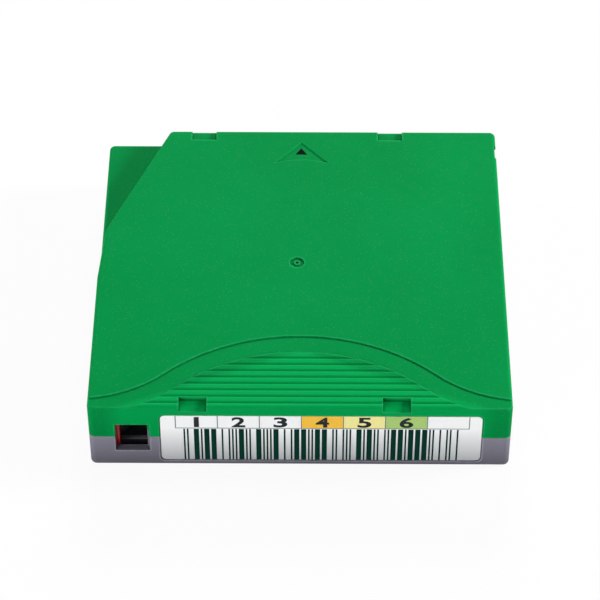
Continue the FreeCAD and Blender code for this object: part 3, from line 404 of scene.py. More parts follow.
@dataclass(frozen=True)
class MouldedPlastic(Finish):
    """Moulded plastic: fine grain, pale specks, painted shade in hollows, painted edge highlights and painted
    shade towards the foot.

    A painted highlight brightens the grip, where -Y is more than grip_apex plus grip_fall times the distance
    from the middle. A grip highlight of 0 leaves the grip as it is, and a foot of 1 keeps the colour down to
    the foot.
    """

    speck: Colour
    # colour of the painted edge highlight
    edge_highlight: Colour
    roughness: Span = (0.53, 0.64)
    sheen: float = 0.01
    cloud: float = 28 * MM
    handling: float = 3 * MM
    grain: float = 0.22 * MM
    grain_depth: float = 0.006 * MM
    speck_pitch: float = 0.6 * MM
    speck_radius: float = 0.085 * MM
    speck_share: float = 0.5
    speck_strength: float = 0.35
    # painted shade in hollows: how far it reaches, how strong and how dark it is
    crease_shade_reach: float = 0.7 * MM
    crease_shade_strength: float = 0.62
    crease_shade_darkness: float = 0.25
    edge: float = 0.22 * MM
    # painted edge highlight: how far from an outer edge it reaches, and the patches that it lies in
    highlight_ridge: float = 0.45 * MM
    highlight_patch_size: float = 1.6 * MM
    highlight_patch_window: Span = (0.35, 0.65)
    highlight_share: Span = (0.6, 0.95)
    # painted shade towards the foot: the share of colour left there, and the height that it fades over
    foot: float = 1.0
    foot_shade_height: float = 1 * MM
    # painted highlight on the grip: its share, and how much brighter it makes the colour
    grip_highlight: float = 0.0
    grip_highlight_gain: float = 1.35
    grip_apex: float = 31.5 * MM
    grip_fall: float = 0.42
    grip_edge: float = 1 * MM

    def painted_grip_highlight(self, board: NodeBoard) -> Socket:
        """Tells how much painted highlight lies on the grip.

        Args:
            board: Board that the nodes go on.

        Returns:
            The share of painted highlight inside the grip, and 0 outside it.
        """
        aside = board.combine("MULTIPLY", board.combine("ABSOLUTE", board.along("X"), 0.0), self.grip_fall)
        near = board.combine("MULTIPLY", board.combine("ADD", board.along("Y"), aside), -1.0)
        window = (self.grip_apex - self.grip_edge, self.grip_apex + self.grip_edge)
        return board.level(near, window, (0.0, self.grip_highlight))

    def paint(self, board: NodeBoard) -> None:
        """Lays the nodes: colour from the plain surface through painted shade and highlights, then roughness
        and grain.

        Args:
            board: Board of the material.
        """
        normal, edge_nearness = board.soft_edges(self.edge)
        colour = board.mix(board.patches(self.cloud, CLOUDY), self.colour, self.shade)
        specks = board.specks(self.speck_pitch, self.speck_radius, self.speck_share)
        colour = board.mix(board.level(specks, FULL, (0.0, self.speck_strength)), colour, self.speck)
        # painted highlight on the grip
        if self.grip_highlight:
            colour = board.mix(self.painted_grip_highlight(board), colour, scaled(self.colour, self.grip_highlight_gain))
        # painted shade in hollows and creases, where the surface lies close to a hollow edge
        hollow_shade = board.level(board.closeness(self.crease_shade_reach, False), FULL, (0.0, self.crease_shade_strength))
        colour = board.mix(hollow_shade, colour, scaled(self.shade, self.crease_shade_darkness))
        # painted shade, darker towards the foot
        foot_shade = board.level(board.along("Z"), (0.0, self.foot_shade_height), (1.0 - self.foot, 0.0))
        colour = board.mix(foot_shade, colour, BLACK)
        # painted highlight along outer edges and rounded arrises, in patches
        highlight_ridge = board.combine("MAXIMUM", edge_nearness, board.closeness(self.highlight_ridge, True))
        highlight_patches = board.level(board.noise(self.highlight_patch_size), self.highlight_patch_window, self.highlight_share)
        colour = board.mix(board.combine("MULTIPLY", highlight_ridge, highlight_patches), colour, self.edge_highlight)
        roughness = board.patches(self.handling, CLOUDY, self.roughness)
        grain = board.relief(board.noise(self.grain), self.grain_depth, normal)
        board.surface(colour, roughness, grain, Specular_IOR_Level=self.sheen)


@dataclass(frozen=True)
class SmoothPlastic(Finish):
    """Smooth inner moulding with faint flow marks and slightly pale edges."""

    roughness: Span = (0.32, 0.41)
    edge: float = 0.15 * MM
    flow: float = 9 * MM
    flow_stretch: Triple = (1.0, 0.35, 1.0)
    grain: float = 0.5 * MM
    grain_depth: float = 0.004 * MM
    edge_gain: float = 1.35
    edge_lift: float = 0.02
    edge_strength: float = 0.5

    def paint(self, board: NodeBoard) -> None:
        """Lays the nodes: flow marks, pale edges and a faint grain.

        Args:
            board: Board of the material.
        """
        normal, edge_nearness = board.soft_edges(self.edge)
        flow = board.noise(self.flow, CLOUDY, self.flow_stretch)
        colour = board.mix(board.level(flow, MIDDLE), self.colour, self.shade)
        pale = scaled(self.colour, self.edge_gain, self.edge_lift)
        colour = board.mix(board.level(edge_nearness, FULL, (0.0, self.edge_strength)), colour, pale)
        grain = board.relief(board.noise(self.grain), self.grain_depth, normal)
        board.surface(colour, board.level(flow, MIDDLE, self.roughness), grain)


@dataclass(frozen=True)
class WorkedMetal(Finish):
    """Metal with the marks of its working: rings, strokes along the piece, or drawn wire."""

    roughness: Span
    lay: Lay
    centre: Triple = ORIGIN
    stroke: float = 0.08 * MM
    stroke_depth: float = 0.003 * MM
    drawn_out: float = 0.03  # scale of the marks along their strokes
    ring_strokes: float = 3  # pitch of the rings, in strokes
    tarnish: float = 4 * MM
    tarnish_window: Span = (0.3, 0.75)
    edge: float = 0.1 * MM
    edge_gain: float = 1.2

    def strokes(self, board: NodeBoard) -> Socket:
        """Lays the marks of the working.

        Args:
            board: Board that the nodes go on.

        Returns:
            The marks, from 0 to 1.
        """
        if self.lay is Lay.ROUND:
            return board.rings(self.centre, self.stroke * self.ring_strokes)
        stretch = {Lay.ALONG_X: (self.drawn_out, 1.0, 1.0), Lay.ALONG_Z: (1.0, 1.0, self.drawn_out)}[self.lay]
        return board.noise(self.stroke, SMOOTH, stretch)

    def paint(self, board: NodeBoard) -> None:
        """Lays the nodes: tarnish, bright edges and the marks of the working.

        Args:
            board: Board of the material.
        """
        normal, edge_nearness = board.soft_edges(self.edge)
        marks = self.strokes(board)
        tarnish = board.noise(self.tarnish, CLOUDY)
        colour = board.mix(board.level(tarnish, self.tarnish_window), self.colour, self.shade)
        colour = board.mix(edge_nearness, colour, scaled(self.colour, self.edge_gain))
        worked = board.relief(marks, self.stroke_depth, normal)
        board.surface(colour, board.level(marks, WIDE, self.roughness), worked, Metallic=1.0)


@dataclass(frozen=True)
class LabelStock(Finish):
    """Satin label stock with a painted shade that deepens from its head to its foot."""

    foot: float
    head: float
    roughness: Span = (0.36, 0.46)
    sheen: float = 0.2
    fibre: float = 0.12 * MM
    fibre_stretch: Triple = (0.4, 1.0, 1.0)
    fibre_tone: Span = (-0.03, 0.03)
    handling: float = 2 * MM
    grain: float = 0.15 * MM
    grain_depth: float = 0.003 * MM

    def paint(self, board: NodeBoard) -> None:
        """Lays the nodes: the painted shade, fibres and a faint grain.

        Args:
            board: Board of the material.
        """
        # painted shade, deepening from the head of the label down to its foot
        depth = board.level(board.along("Z"), (self.foot, self.head), FALLING)
        fibres = board.patches(self.fibre, SMOOTH, self.fibre_tone, self.fibre_stretch)
        colour = board.mix(board.combine("ADD", depth, fibres), self.colour, self.shade)
        roughness = board.patches(self.handling, SMOOTH, self.roughness)
        grain = board.relief(board.noise(self.grain), self.grain_depth)
        board.surface(colour, roughness, grain, Specular_IOR_Level=self.sheen)


@dataclass(frozen=True)
class Ink(Finish):
    """Printed ink, a little mottled."""

    roughness: Span = (0.51, 0.61)
    sheen: float = 0.01
    mottle: float = 0.35 * MM
    mottle_window: Span = (0.35, 0.7)
    mottle_depth: float = 0.002 * MM

    def paint(self, board: NodeBoard) -> None:
        """Lays the nodes: one mottle for colour, roughness and relief.

        Args:
            board: Board of the material.
        """
        mottle = board.noise(self.mottle, CLOUDY)
        colour = board.mix(board.level(mottle, self.mottle_window), self.colour, self.shade)
        roughness = board.level(mottle, MIDDLE, self.roughness)
        relief = board.relief(mottle, self.mottle_depth)
        board.surface(colour, roughness, relief, Specular_IOR_Level=self.sheen)


@dataclass(frozen=True)
class WoundFilm(Finish):
    """Coated film: fine rings on the faces of the pack, and a smooth glossy side."""

    centre: Triple
    roughness: Span = (0.22, 0.34)
    turn: float = 0.18 * MM
    turn_depth: float = 0.006 * MM
    band: float = 4.3 * MM
    band_window: Span = (0.1, 0.9)
    band_tone: Span = (0.3, 1.0)
    cloud: float = 12 * MM
    cloud_tone: Span = (0.4, 1.0)

    def paint(self, board: NodeBoard) -> None:
        """Lays the nodes: turns of the film, wider bands and clouds.

        Args:
            board: Board of the material.
        """
        turns = board.rings(self.centre, self.turn)
        bands = board.level(board.rings(self.centre, self.band), self.band_window, self.band_tone)
        clouds = board.patches(self.cloud, CLOUDY, self.cloud_tone)
        colour = board.mix(board.combine("MULTIPLY", bands, clouds), self.colour, self.shade)
        board.surface(colour, board.level(turns, FULL, self.roughness), board.relief(turns, self.turn_depth))


@dataclass(frozen=True)
class CoatedBoard(Finish):
    """Circuit board with solder mask over its glass weave, and pale cut edges."""

    roughness: Span = (0.24, 0.34)
    thread: float = 0.45 * MM
    thread_window: Span = (0.2, 0.9)
    thread_strength: float = 0.6
    thread_depth: float = 0.01 * MM
    edge: float = 0.1 * MM
    cut: Colour = (0.30, 0.27, 0.14)

    def paint(self, board: NodeBoard) -> None:
        """Lays the nodes: two crossing waves for the weave, and the cut edges.

        Args:
            board: Board of the material.
        """
        normal, edge_nearness = board.soft_edges(self.edge)
        waves = [board.add("ShaderNodeTexWave", bands_direction=way) for way in ("X", "DIAGONAL")]
        for wave in waves:
            wave.inputs["Scale"].default_value = WAVE_SCALE / self.thread
            board.join(board.place, wave.inputs["Vector"])
        weave = board.combine("MAXIMUM", *(wave.outputs["Fac"] for wave in waves))
        share = board.level(weave, self.thread_window, (0.0, self.thread_strength))
        colour = board.mix(edge_nearness, board.mix(share, self.colour, self.shade), self.cut)
        relief = board.relief(weave, self.thread_depth, normal)
        board.surface(colour, board.level(weave, FULL, self.roughness), relief)


@dataclass(frozen=True)
class SealingResin(Finish):
    """Glossy resin dome with a trace of flow."""

    roughness: Span = (0.08, 0.18)
    flow: float = 2.5 * MM
    flow_window: Span = (0.35, 0.7)
    flow_depth: float = 0.03 * MM
    coat: float = 0.6

    def paint(self, board: NodeBoard) -> None:
        """Lays the nodes: one flow for colour, roughness and relief.

        Args:
            board: Board of the material.
        """
        flow = board.noise(self.flow, CLOUDY)
        colour = board.mix(board.level(flow, self.flow_window), self.colour, self.shade)
        roughness = board.level(flow, MIDDLE, self.roughness)
        board.surface(colour, roughness, board.relief(flow, self.flow_depth), Coat_Weight=self.coat)


# ---- meshes --------
class Solid:
    """Closed mesh put together from plain forms."""

    def __init__(self) -> None:
        """Starts an empty mesh."""
        self.mesh = bmesh.new()

    def prism(self, outline: Sequence[Vector], rise: Vector) -> "Solid":
        """Adds a prism.

        Args:
            outline: Corners of its foot, in order.
            rise: From the foot to the head.

        Returns:
            The solid itself.
        """
        foot = [self.mesh.verts.new(p) for p in outline]
        head = [self.mesh.verts.new(p + rise) for p in outline]
        self.mesh.faces.new(foot)
        self.mesh.faces.new(head[::-1])
        for i, corner in enumerate(foot):
            j = (i + 1) % len(foot)
            self.mesh.faces.new((foot[j], corner, head[i], head[j]))
        return self

    def wire(self, path: Sequence[Vector], across: Sequence[Vector], radius: float, sides: int) -> "Solid":
        """Adds a round wire.

        Args:
            path: Points of its centreline.
            across: A direction square to the path at each point.
            radius: Radius of the wire.
            sides: Facets round the wire.

        Returns:
            The solid itself.
        """
        turn = [math.tau * k / sides for k in range(sides)]
        hoops = []
        for i, (point, out) in enumerate(zip(path, across)):
            ahead = (path[min(i + 1, len(path) - 1)] - path[max(i - 1, 0)]).normalized()
            side = ahead.cross(out).normalized()
            hoop = [point + (out * math.cos(a) + side * math.sin(a)) * radius for a in turn]
            hoops.append([self.mesh.verts.new(p) for p in hoop])
        for first, second in zip(hoops, hoops[1:]):
            for k in range(sides):
                m = (k + 1) % sides
                self.mesh.faces.new((first[k], first[m], second[m], second[k]))
        self.mesh.faces.new(hoops[0][::-1])
        self.mesh.faces.new(hoops[-1])
        return self

    def take(self, mesh: bpy.types.Mesh, place: Matrix) -> "Solid":
        """Adds a copy of another mesh.

        Args:
            mesh: The other mesh.
            place: Where the copy goes.

        Returns:
            The solid itself.
        """
        before = len(self.mesh.verts)
        self.mesh.from_mesh(mesh)
        self.mesh.verts.ensure_lookup_table()
        for vert in self.mesh.verts[before:]:
            vert.co = place @ vert.co
        return self

    def piece(self, name: str, material: bpy.types.Material, smooth: bool = False) -> bpy.types.Object:
        """Turns the mesh into an object.

        Args:
            name: Name of the piece.
            material: Its finish.
            smooth: Whether its faces shade smoothly.

        Returns:
            The new object.
        """
        bmesh.ops.recalc_face_normals(self.mesh, faces=self.mesh.faces)
        data = bpy.data.meshes.new(name)
        self.mesh.to_mesh(data)
        self.mesh.free()
        data.materials.append(material)
        data.polygons.foreach_set("use_smooth", [smooth] * len(data.polygons))
        return place_object(name, data)


def place_object(name: str, data: bpy.types.ID) -> bpy.types.Object:
    """Puts a new object into the scene.

    Args:
        name: Name of the object.
        data: Its mesh, curve, lamp or camera.

    Returns:
        The object.
    """
    thing = bpy.data.objects.new(name, data)
    bpy.context.scene.collection.objects.link(thing)
    return thing


def middle(node: str) -> Vector:
    """Returns the middle of a node's box."""
    return sum(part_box(node), Vector()) / 2


def settle(piece: bpy.types.Object, body: Body) -> bpy.types.Object:
    """Puts a new piece on its body.

    Args:
        piece: The piece, in place.
        body: Body that carries it.

    Returns:
        The piece.
    """
    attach(piece, body.value)
    LOG.info("piece %s rides on %s", piece.name, body.value)
    return piece


def clothe(finish: Finish, *nodes: str) -> None:
    """Gives nodes of the construction their finish.

    Args:
        finish: The finish.
        *nodes: Names of the nodes.
    """
    material = finish.material()
    for name in nodes:
        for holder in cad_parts[name].material_slots:
            holder.material = material
        LOG.info("node %s wears %s", name, material.name)


def rectangle(x0: float, x1: float, z0: float, z1: float, y: float) -> list[Vector]:
    """Returns the corners of an upright rectangle that faces the label end."""
    return [Vector((x0, y, z0)), Vector((x1, y, z0)), Vector((x1, y, z1)), Vector((x0, y, z1))]


# ---- finishes that more than one sub-assembly wears --------
# fourth colour: painted edge highlight; foot settings: painted shade at the foot; GREEN's grip: painted
# highlight
GREEN = MouldedPlastic("green_plastic", (0.0004, 0.255, 0.058), (0.0004, 0.232, 0.051), (0.15, 0.46, 0.10),
                       (0.012, 0.345, 0.102), foot=0.70, foot_shade_height=21 * MM, grip_highlight=0.75)
GREY = MouldedPlastic("grey_plastic", (0.222, 0.217, 0.268), (0.196, 0.191, 0.240), (0.33, 0.32, 0.37),
                      (0.29, 0.28, 0.33), speck_share=0.2, foot=0.55, foot_shade_height=10 * MM)
STEEL_WIRE = WorkedMetal("spring_wire", (0.52, 0.52, 0.53), (0.40, 0.40, 0.42), (0.23, 0.36), Lay.ALONG_Z)


# ---- sub-assemblies --------
class SubAssembly(ABC):
    """Group of nodes that belong together, with the pieces that are added to them."""

    def build(self) -> None:
        """Builds the added pieces; a group that is all in the construction has none."""

    @abstractmethod
    def dress(self) -> None:
        """Gives the nodes of the group their finish."""


@dataclass
class CaseShells(SubAssembly):
    """Both shells of the case, with the printed arrow at the loading end."""

    arrow_x: float = -0.1 * MM
    arrow_inset: float = 6.8 * MM
    arrow_depth: float = 0.3 * MM
    arrow_width: float = 3.2 * MM
    arrow_length: float = 2.55 * MM
    ink: float = 0.02 * MM

    def build(self) -> None:
        """Prints the arrow on the floor of its recess."""
        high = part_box("top_shell")[1]
        apex = Vector((self.arrow_x, high.y - self.arrow_inset, high.z - self.arrow_depth))
        foot = apex - Vector((0.0, self.arrow_length, 0.0))
        half = Vector((self.arrow_width / 2, 0.0, 0.0))
        arrow = Solid().prism([foot - half, foot + half, apex], Vector((0.0, 0.0, self.ink)))
        black = Ink("black_ink", (0.002, 0.003, 0.003), (0.004, 0.005, 0.005))
        settle(arrow.piece("loading_arrow", black.material()), Body.CASE)

    def dress(self) -> None:
        """Dresses the shells."""
        clothe(GREEN, "top_shell")
        clothe(GREY, "bottom_shell")


@dataclass
class BarcodeLabel(SubAssembly):
    """Printed label: coloured cells, their outline, plain digits and a generic pattern of bars."""

    first_cell: float = 3.8 * MM
    cell: float = 10.43 * MM
    cell_count: int = 7
    cell_height: float = 4.48 * MM
    line: float = 0.24 * MM
    ink: float = 0.012 * MM
    field_ink: float = 0.006 * MM
    bars_from: float = 5.7 * MM
    bars_to: float = 74.7 * MM
    bars_gap: float = 0.17 * MM
    module: float = 0.431 * MM
    wide: int = 3
    elements: int = 9
    wide_elements: int = 3
    seed: int = 39
    digit_height: float = 3.75 * MM
    digit_width: float = 3.4 * MM
    digit_foot: float = 0.34 * MM
    font_weight: float = 0.03
    font_least_width: float = 0.42  # keeps the 1 from being stretched to the width of the others

    def __post_init__(self) -> None:
        """Reads the place of the label."""
        self.low, self.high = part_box("barcode_label")
        self.cells_x = self.low.x + self.first_cell
        self.cells_z = self.high.z - self.cell_height

    def plates(self, rectangles: Iterable[tuple[float, float, float, float]], depth: float) -> Solid:
        """Lays thin rectangles of ink on the label.

        Args:
            rectangles: Left, right, foot and head of each one.
            depth: Thickness of the ink.

        Returns:
            One solid of them all.
        """
        solid = Solid()
        for x0, x1, z0, z1 in rectangles:
            solid.prism(rectangle(x0, x1, z0, z1, self.low.y), Vector((0.0, -depth, 0.0)))
        return solid

    def fields(self) -> None:
        """Builds the three coloured cells."""
        inks = {3: Ink("amber_ink", (0.93, 0.56, 0.075), (0.88, 0.50, 0.055)),
                4: Ink("cream_ink", (0.90, 0.84, 0.36), (0.86, 0.80, 0.31)),
                5: Ink("leaf_ink", (0.42, 0.62, 0.20), (0.37, 0.57, 0.165))}
        for number, ink in inks.items():
            x0 = self.cells_x + number * self.cell
            plate = self.plates([(x0, x0 + self.cell, self.cells_z, self.high.z)], self.field_ink)
            settle(plate.piece(f"label_field_{number + 1}", ink.material()), Body.CASE)

    def outline(self) -> None:
        """Builds the thin lines round the cells."""
        half = self.line / 2
        x1 = self.cells_x + self.cell_count * self.cell
        lines = [(self.cells_x - half, x1 + half, self.cells_z - half, self.cells_z + half)]
        for number in range(self.cell_count + 1):
            x = self.cells_x + number * self.cell
            lines.append((x - half, x + half, self.cells_z + half, self.high.z))
        ink = Ink("line_ink", (0.150, 0.180, 0.200), (0.18, 0.21, 0.23))
        settle(self.plates(lines, self.ink).piece("label_lines", ink.material()), Body.CASE)

    def bar_spans(self) -> list[Span]:
        """Draws the bars, in groups that start and end with a bar and have some wide elements.

        Returns:
            Left and right of each bar.
        """
        draw = random.Random(self.seed)
        spans = []
        x = self.bars_from
        while x < self.bars_to - self.module * self.wide:
            wide = draw.sample(range(self.elements), self.wide_elements)
            for element in range(self.elements):
                width = self.module * (self.wide if element in wide else 1)
                if element % 2 == 0:
                    spans.append((self.low.x + x, self.low.x + x + width))
                x += width
            x += self.module
        return spans

    def bars(self) -> None:
        """Builds the bars, which run off the lower edge of the label."""
        top = self.cells_z - self.line / 2 - self.bars_gap
        plates = self.plates([(x0, x1, self.low.z, top) for x0, x1 in self.bar_spans()], self.ink)
        ink = Ink("bar_ink", (0.0025, 0.030, 0.020), (0.0035, 0.038, 0.026))
        settle(plates.piece("label_bars", ink.material()), Body.CASE)

    def figure(self, text: str) -> bpy.types.Mesh:
        """Makes a figure of the plain font, one unit thick.

        Args:
            text: The figure.

        Returns:
            Its mesh, in units of the font.
        """
        curve = bpy.data.curves.new("digit", "FONT")
        curve.body = text
        curve.size = 1.0
        curve.offset = self.font_weight
        curve.extrude = 0.5
        writer = place_object("digit", curve)
        bpy.context.view_layer.update()
        mesh = bpy.data.meshes.new_from_object(writer.evaluated_get(bpy.context.evaluated_depsgraph_get()))
        bpy.data.objects.remove(writer)
        return mesh

    def digit(self, text: str, number: int) -> tuple[bpy.types.Mesh, Matrix]:
        """Makes one digit.

        Args:
            text: The digit.
            number: Cell that it stands in, from 0.

        Returns:
            Its mesh, and its place on the label.
        """
        mesh = self.figure(text)
        xs = [v.co.x for v in mesh.vertices]
        ys = [v.co.y for v in mesh.vertices]
        wide = max(max(xs) - min(xs), self.font_least_width)
        tall = max(ys) - min(ys)
        size = Matrix.Diagonal((self.digit_width / wide, self.digit_height / tall, self.ink, 1.0))
        centred = Matrix.Translation((-(max(xs) + min(xs)) / 2, -min(ys), 0.0))
        x = self.cells_x + (number + 0.5) * self.cell
        cell = Matrix.Translation((x, self.low.y - self.ink / 2, self.cells_z + self.digit_foot))
        return mesh, cell @ Matrix.Rotation(math.pi / 2, 4, "X") @ size @ centred

    def digits(self) -> None:
        """Builds plain digits in the cells, from 1; the last cell stays bare."""
        solid = Solid()
        for number in range(self.cell_count - 1):
            solid.take(*self.digit(str(number + 1), number))
        ink = Ink("digit_ink", (0.022, 0.027, 0.031), (0.030, 0.036, 0.041))
        settle(solid.piece("label_digits", ink.material()), Body.CASE)

    def build(self) -> None:
        """Prints the label."""
        self.fields()
        self.outline()
        self.bars()
        self.digits()

    def dress(self) -> None:
        """Dresses the label."""
        # the second colour is the painted shade at the foot of the label
        stock = LabelStock("label_stock", (0.92, 0.93, 0.935), (0.43, 0.44, 0.46), self.low.z, self.cells_z)
        clothe(stock, "barcode_label")


@dataclass
class CoilSpring:
    """Round-wire compression spring with closed ends, which stands for a coil of the construction."""

    node: str
    axis: Triple
    turns: float
    wire: float
    joint: str
    fixed_end_high: bool
    closed_turns: float = 0.9
    closed_pitch: float = 1.05  # in wires
    sides: int = 10
    steps_per_turn: int = 28

    def height(self, turn: float, length: float) -> float:
        """Works out the height of the wire: slow in the closed ends and steady between them.

        Args:
            turn: Turns from the low end.
            length: Height of the last turn.

        Returns:
            The height above the low end.
        """
        closed = self.closed_turns
        end = self.wire * self.closed_pitch * closed
        active = self.turns - 2 * closed
        if turn < closed:
            return end * turn / closed
        if turn > self.turns - closed:
            return length - end * (self.turns - turn) / closed
        return end + (length - 2 * end) * (turn - closed) / active

    def build(self) -> None:
        """Builds the spring between the ends of its node, and hides the node."""
        low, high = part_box(self.node)
        along = Vector(self.axis)
        first = Vector((1.0, 0.0, 0.0))
        second = along.cross(first)
        centre = middle(self.node)
        length = abs((high - low).dot(along))
        start = centre - along * (length / 2 - self.wire / 2)
        radius = (high.x - low.x) / 2 - self.wire / 2
        count = int(self.turns * self.steps_per_turn)
        turn = [self.turns * i / count for i in range(count + 1)]
        out = [first * math.cos(math.tau * t) + second * math.sin(math.tau * t) for t in turn]
        path = [start + o * radius + along * self.height(t, length - self.wire) for t, o in zip(turn, out)]
        solid = Solid().wire(path, out, self.wire / 2, self.sides)
        coil = solid.piece(f"{self.node}_coil", STEEL_WIRE.material(), smooth=True)
        spring = settle(coil, Body.CASE)
        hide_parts(self.node)
        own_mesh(spring)


@dataclass
class AccessDoor(SubAssembly):
    """Sliding door with its return spring, and the slider behind the window."""

    turns: float = 9.0
    wire: float = 0.35 * MM

    def build(self) -> None:
        """Builds the return spring."""
        CoilSpring("door_spring", (0.0, 1.0, 0.0), self.turns, self.wire, "door_slide",
                   fixed_end_high=False).build()

    def dress(self) -> None:
        """Dresses the door and the slider."""
        clothe(GREY, "access_door")
        red = SmoothPlastic("red_plastic", (0.52, 0.012, 0.014), (0.44, 0.009, 0.011))
        clothe(red, "write_protect_slider")


@dataclass
class LeaderPin(SubAssembly):
    """Leader pin with its clip and its spring."""

    def dress(self) -> None:
        """Dresses the pin, the clip and the spring."""
        pin = WorkedMetal("pin_steel", (0.66, 0.66, 0.67), (0.55, 0.55, 0.57), (0.09, 0.22), Lay.ROUND,
                          tuple(middle("leader_pin")))
        strip = WorkedMetal("strip_steel", (0.55, 0.55, 0.56), (0.43, 0.43, 0.45), (0.21, 0.34), Lay.ALONG_Z)
        clip = SmoothPlastic("clip_plastic", (0.030, 0.030, 0.032), (0.022, 0.022, 0.024))
        clothe(pin, "leader_pin")
        clothe(strip, "leader_pin_spring")
        clothe(clip, "leader_pin_clip")


@dataclass
class MemoryBoard(SubAssembly):
    """Small circuit board with its sealed chip and the printed loop round it."""

    thick: float = 0.8 * MM
    loop_length: float = 14.6 * MM
    loop_height: float = 7.8 * MM
    loop_count: int = 3
    trace: float = 0.28 * MM
    pitch: float = 0.62 * MM
    copper: float = 0.03 * MM
    slope: float = math.radians(-45.0)

    def build(self) -> None:
        """Builds the loop as nested rectangles of copper on the face of the board."""
        place = Matrix.Translation(middle("memory_board")) @ Matrix.Rotation(self.slope, 4, "X")
        solid = Solid()
        rise = place.to_3x3() @ Vector((0.0, 0.0, self.copper))
        for number in range(self.loop_count):
            x = self.loop_length / 2 - number * self.pitch
            y = self.loop_height / 2 - number * self.pitch
            t = self.trace
            bars = [(-x, x, y - t, y), (-x, x, -y, -y + t),
                    (-x, -x + t, -y + t, y - t), (x - t, x, -y + t, y - t)]
            for x0, x1, y0, y1 in bars:
                corners = [(x0, y0), (x1, y0), (x1, y1), (x0, y1)]
                solid.prism([place @ Vector((a, b, self.thick / 2)) for a, b in corners], rise)
        copper = WorkedMetal("loop_copper", (0.78, 0.40, 0.20), (0.62, 0.30, 0.14), (0.25, 0.38), Lay.ALONG_X)
        settle(solid.piece("memory_board_loop", copper.material()), Body.CASE)

    def dress(self) -> None:
        """Dresses the board and the cap of the chip."""
        clothe(CoatedBoard("board_mask", (0.010, 0.120, 0.055), (0.016, 0.160, 0.075)), "memory_board")
        clothe(SealingResin("chip_resin", (0.008, 0.008, 0.009), (0.014, 0.014, 0.016)), "memory_chip_cap")


@dataclass
class CaseScrews(SubAssembly):
    """Screws that hold the shells together."""

    def dress(self) -> None:
        """Dresses the screws."""
        zinc = WorkedMetal("zinc_plate", (0.50, 0.50, 0.49), (0.38, 0.38, 0.36), (0.27, 0.40), Lay.ALONG_Z)
        clothe(zinc, "case_screws")


@dataclass
class TapeReel(SubAssembly):
    """Reel: hub, upper flange, drive plate, wound tape and its free end."""

    def dress(self) -> None:
        """Dresses the reel, with its rings round the middle of the hub."""
        centre = tuple(middle("reel_hub"))
        moulding = SmoothPlastic("reel_plastic", (0.60, 0.60, 0.585), (0.53, 0.53, 0.515), (0.28, 0.37))
        plate = WorkedMetal("drive_plate_steel", (0.56, 0.56, 0.565), (0.46, 0.46, 0.47), (0.21, 0.34),
                            Lay.ROUND, centre)
        film = WoundFilm("tape_film", (0.020, 0.017, 0.016), (0.032, 0.027, 0.025), centre)
        clothe(moulding, "reel_hub", "reel_upper_flange")
        clothe(plate, "reel_drive_plate")
        clothe(film, "tape_pack", "tape_lead")


@dataclass
class ReelBrake(SubAssembly):
    """Brake button with its spring, and the pad that lifts it."""

    turns: float = 4.5
    wire: float = 0.9 * MM

    def build(self) -> None:
        """Builds the brake spring."""
        CoilSpring("brake_spring", (0.0, 0.0, 1.0), self.turns, self.wire, "brake_lift",
                   fixed_end_high=True).build()

    def dress(self) -> None:
        """Dresses the button and the pad."""
        clothe(SmoothPlastic("brake_plastic", (0.70, 0.69, 0.645), (0.62, 0.61, 0.57)), "brake_button")
        clothe(SmoothPlastic("pad_plastic", (0.78, 0.765, 0.71), (0.70, 0.69, 0.635)), "release_pad")


# ---- studio --------
def seen_directly(tree: bpy.types.NodeTree) -> Socket:
    """Adds up the rays that the eye, a mirror or glass sends.

    Args:
        tree: Node tree of a material or of the world.

    Returns:
        1 for such a ray and 0 for light that bounces.
    """
    path = tree.nodes.new("ShaderNodeLightPath")
    total = path.outputs["Is Camera Ray"]
    for kind in ("Is Glossy Ray", "Is Transmission Ray"):
        step = tree.nodes.new("ShaderNodeMath")
        tree.links.new(total, step.inputs[0])
        tree.links.new(path.outputs[kind], step.inputs[1])
        total = step.outputs[0]
    return total


@dataclass
class SoftBox:
    """Square lamp that points at the middle of the case."""

    name: str
    place: Triple
    size: float
    power: float
    target: Triple = (0.0, 0.0, 10 * MM)

    def build(self) -> None:
        """Builds the lamp."""
        data = bpy.data.lights.new(self.name, "AREA")
        data.shape = "SQUARE"
        data.size = self.size
        data.energy = self.power
        lamp = place_object(self.name, data)
        lamp.location = self.place
        lamp.rotation_euler = (Vector(self.target) - Vector(self.place)).to_track_quat("-Z", "Y").to_euler()


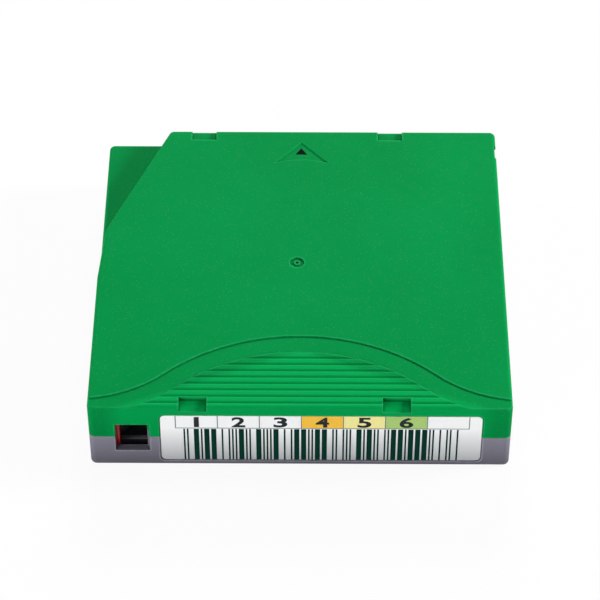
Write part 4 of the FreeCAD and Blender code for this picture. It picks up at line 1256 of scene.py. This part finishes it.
@dataclass
class Studio:
    """Pale floor, soft lamps, plain surroundings and the camera."""

    floor_size: float = 3.0
    floor_drop: float = 0.05 * MM
    floor_colour: Colour = (0.80, 0.80, 0.80)
    floor_white: float = 0.93
    horizon: float = 0.75
    zenith: float = 0.12
    sky_window: Span = (0.1, 0.55)
    lens: float = 159.6
    sensor: float = 36.0
    nearest: float = 10 * MM
    camera_place: Triple = (0.0025, -0.4900, 0.5096)
    camera_tilt: float = 44.3
    camera_turn: float = 0.32

    def floor_material(self) -> bpy.types.Material:
        """Makes a floor that is nearly white to the eye, and darker where the case shades it.

        Returns:
            The material.
        """
        board = NodeBoard("floor_white")
        board.tree.nodes.remove(board.shader)
        matt = board.add("ShaderNodeBsdfDiffuse")
        board.feed(matt.inputs["Color"], self.floor_colour)
        glow = board.add("ShaderNodeEmission")
        board.feed(glow.inputs["Color"], WHITE)
        blend = board.add("ShaderNodeMixShader")
        share = board.level(seen_directly(board.tree), FULL, (0.0, self.floor_white))
        for source, target in zip((share, matt.outputs[0], glow.outputs[0]), blend.inputs):
            board.join(source, target)
        board.join(blend.outputs[0], board.output.inputs[0])
        return board.material

    def floor(self) -> None:
        """Builds the floor."""
        half = self.floor_size / 2
        corners = [(x * half, y * half, -self.floor_drop) for x, y in ((-1, -1), (1, -1), (1, 1), (-1, 1))]
        data = bpy.data.meshes.new("studio_floor")
        data.from_pydata(corners, [], [(0, 1, 2, 3)])
        data.materials.append(self.floor_material())
        place_object("studio_floor", data)

    def world(self) -> None:
        """Builds the surroundings: white to the eye, and a soft sky to the case."""
        world = bpy.data.worlds.new("surroundings")
        world.use_nodes = True
        tree = world.node_tree
        ground = tree.nodes["Background"]
        ways = tree.nodes.new("ShaderNodeTexCoord")
        split = tree.nodes.new("ShaderNodeSeparateXYZ")
        sky = tree.nodes.new("ShaderNodeMapRange")
        strength = tree.nodes.new("ShaderNodeMapRange")
        tree.links.new(ways.outputs["Generated"], split.inputs[0])
        tree.links.new(split.outputs["Z"], sky.inputs["Value"])
        for key, number in zip(RANGE_KEYS, (*self.sky_window, self.horizon, self.zenith)):
            sky.inputs[key].default_value = number
        tree.links.new(seen_directly(tree), strength.inputs["Value"])
        tree.links.new(sky.outputs["Result"], strength.inputs["To Min"])
        strength.inputs["To Max"].default_value = 1.0
        ground.inputs["Color"].default_value = (*WHITE, 1.0)
        tree.links.new(strength.outputs["Result"], ground.inputs["Strength"])
        bpy.context.scene.world = world

    def camera(self) -> None:
        """Builds the camera."""
        data = bpy.data.cameras.new("camera")
        data.lens = self.lens
        data.sensor_width = self.sensor
        data.clip_start = self.nearest
        camera = place_object("camera", data)
        camera.location = self.camera_place
        camera.rotation_euler = (math.radians(self.camera_tilt), 0.0, math.radians(self.camera_turn))
        bpy.context.scene.camera = camera

    def build(self) -> None:
        """Builds the studio."""
        bpy.context.scene.view_settings.view_transform = "Standard"
        self.floor()
        self.world()
        self.camera()
        for lamp in (SoftBox("back_lamp", (0.10, 1.42, 0.88), 0.62, 22.0),
                     SoftBox("rim_lamp", (-1.0, 0.5, 0.25), 0.4, 4.5),
                     SoftBox("side_lamp", (1.08, 0.12, 0.53), 0.26, 14.5),
                     SoftBox("front_lamp", (-0.75, -1.05, 0.36), 0.6, 8.7)):
            lamp.build()


def main() -> None:
    """Builds and dresses every sub-assembly, and the studio round them."""
    logging.basicConfig(level=logging.INFO, format="%(name)s: %(message)s")
    groups: tuple[SubAssembly, ...] = (CaseShells(), BarcodeLabel(), AccessDoor(), LeaderPin(), MemoryBoard(),
                                       CaseScrews(), TapeReel(), ReelBrake())
    for group in groups:
        LOG.info("sub-assembly %s", type(group).__name__)
        group.build()
        group.dress()
    Studio().build()


if __name__ == "__main__":
    main()
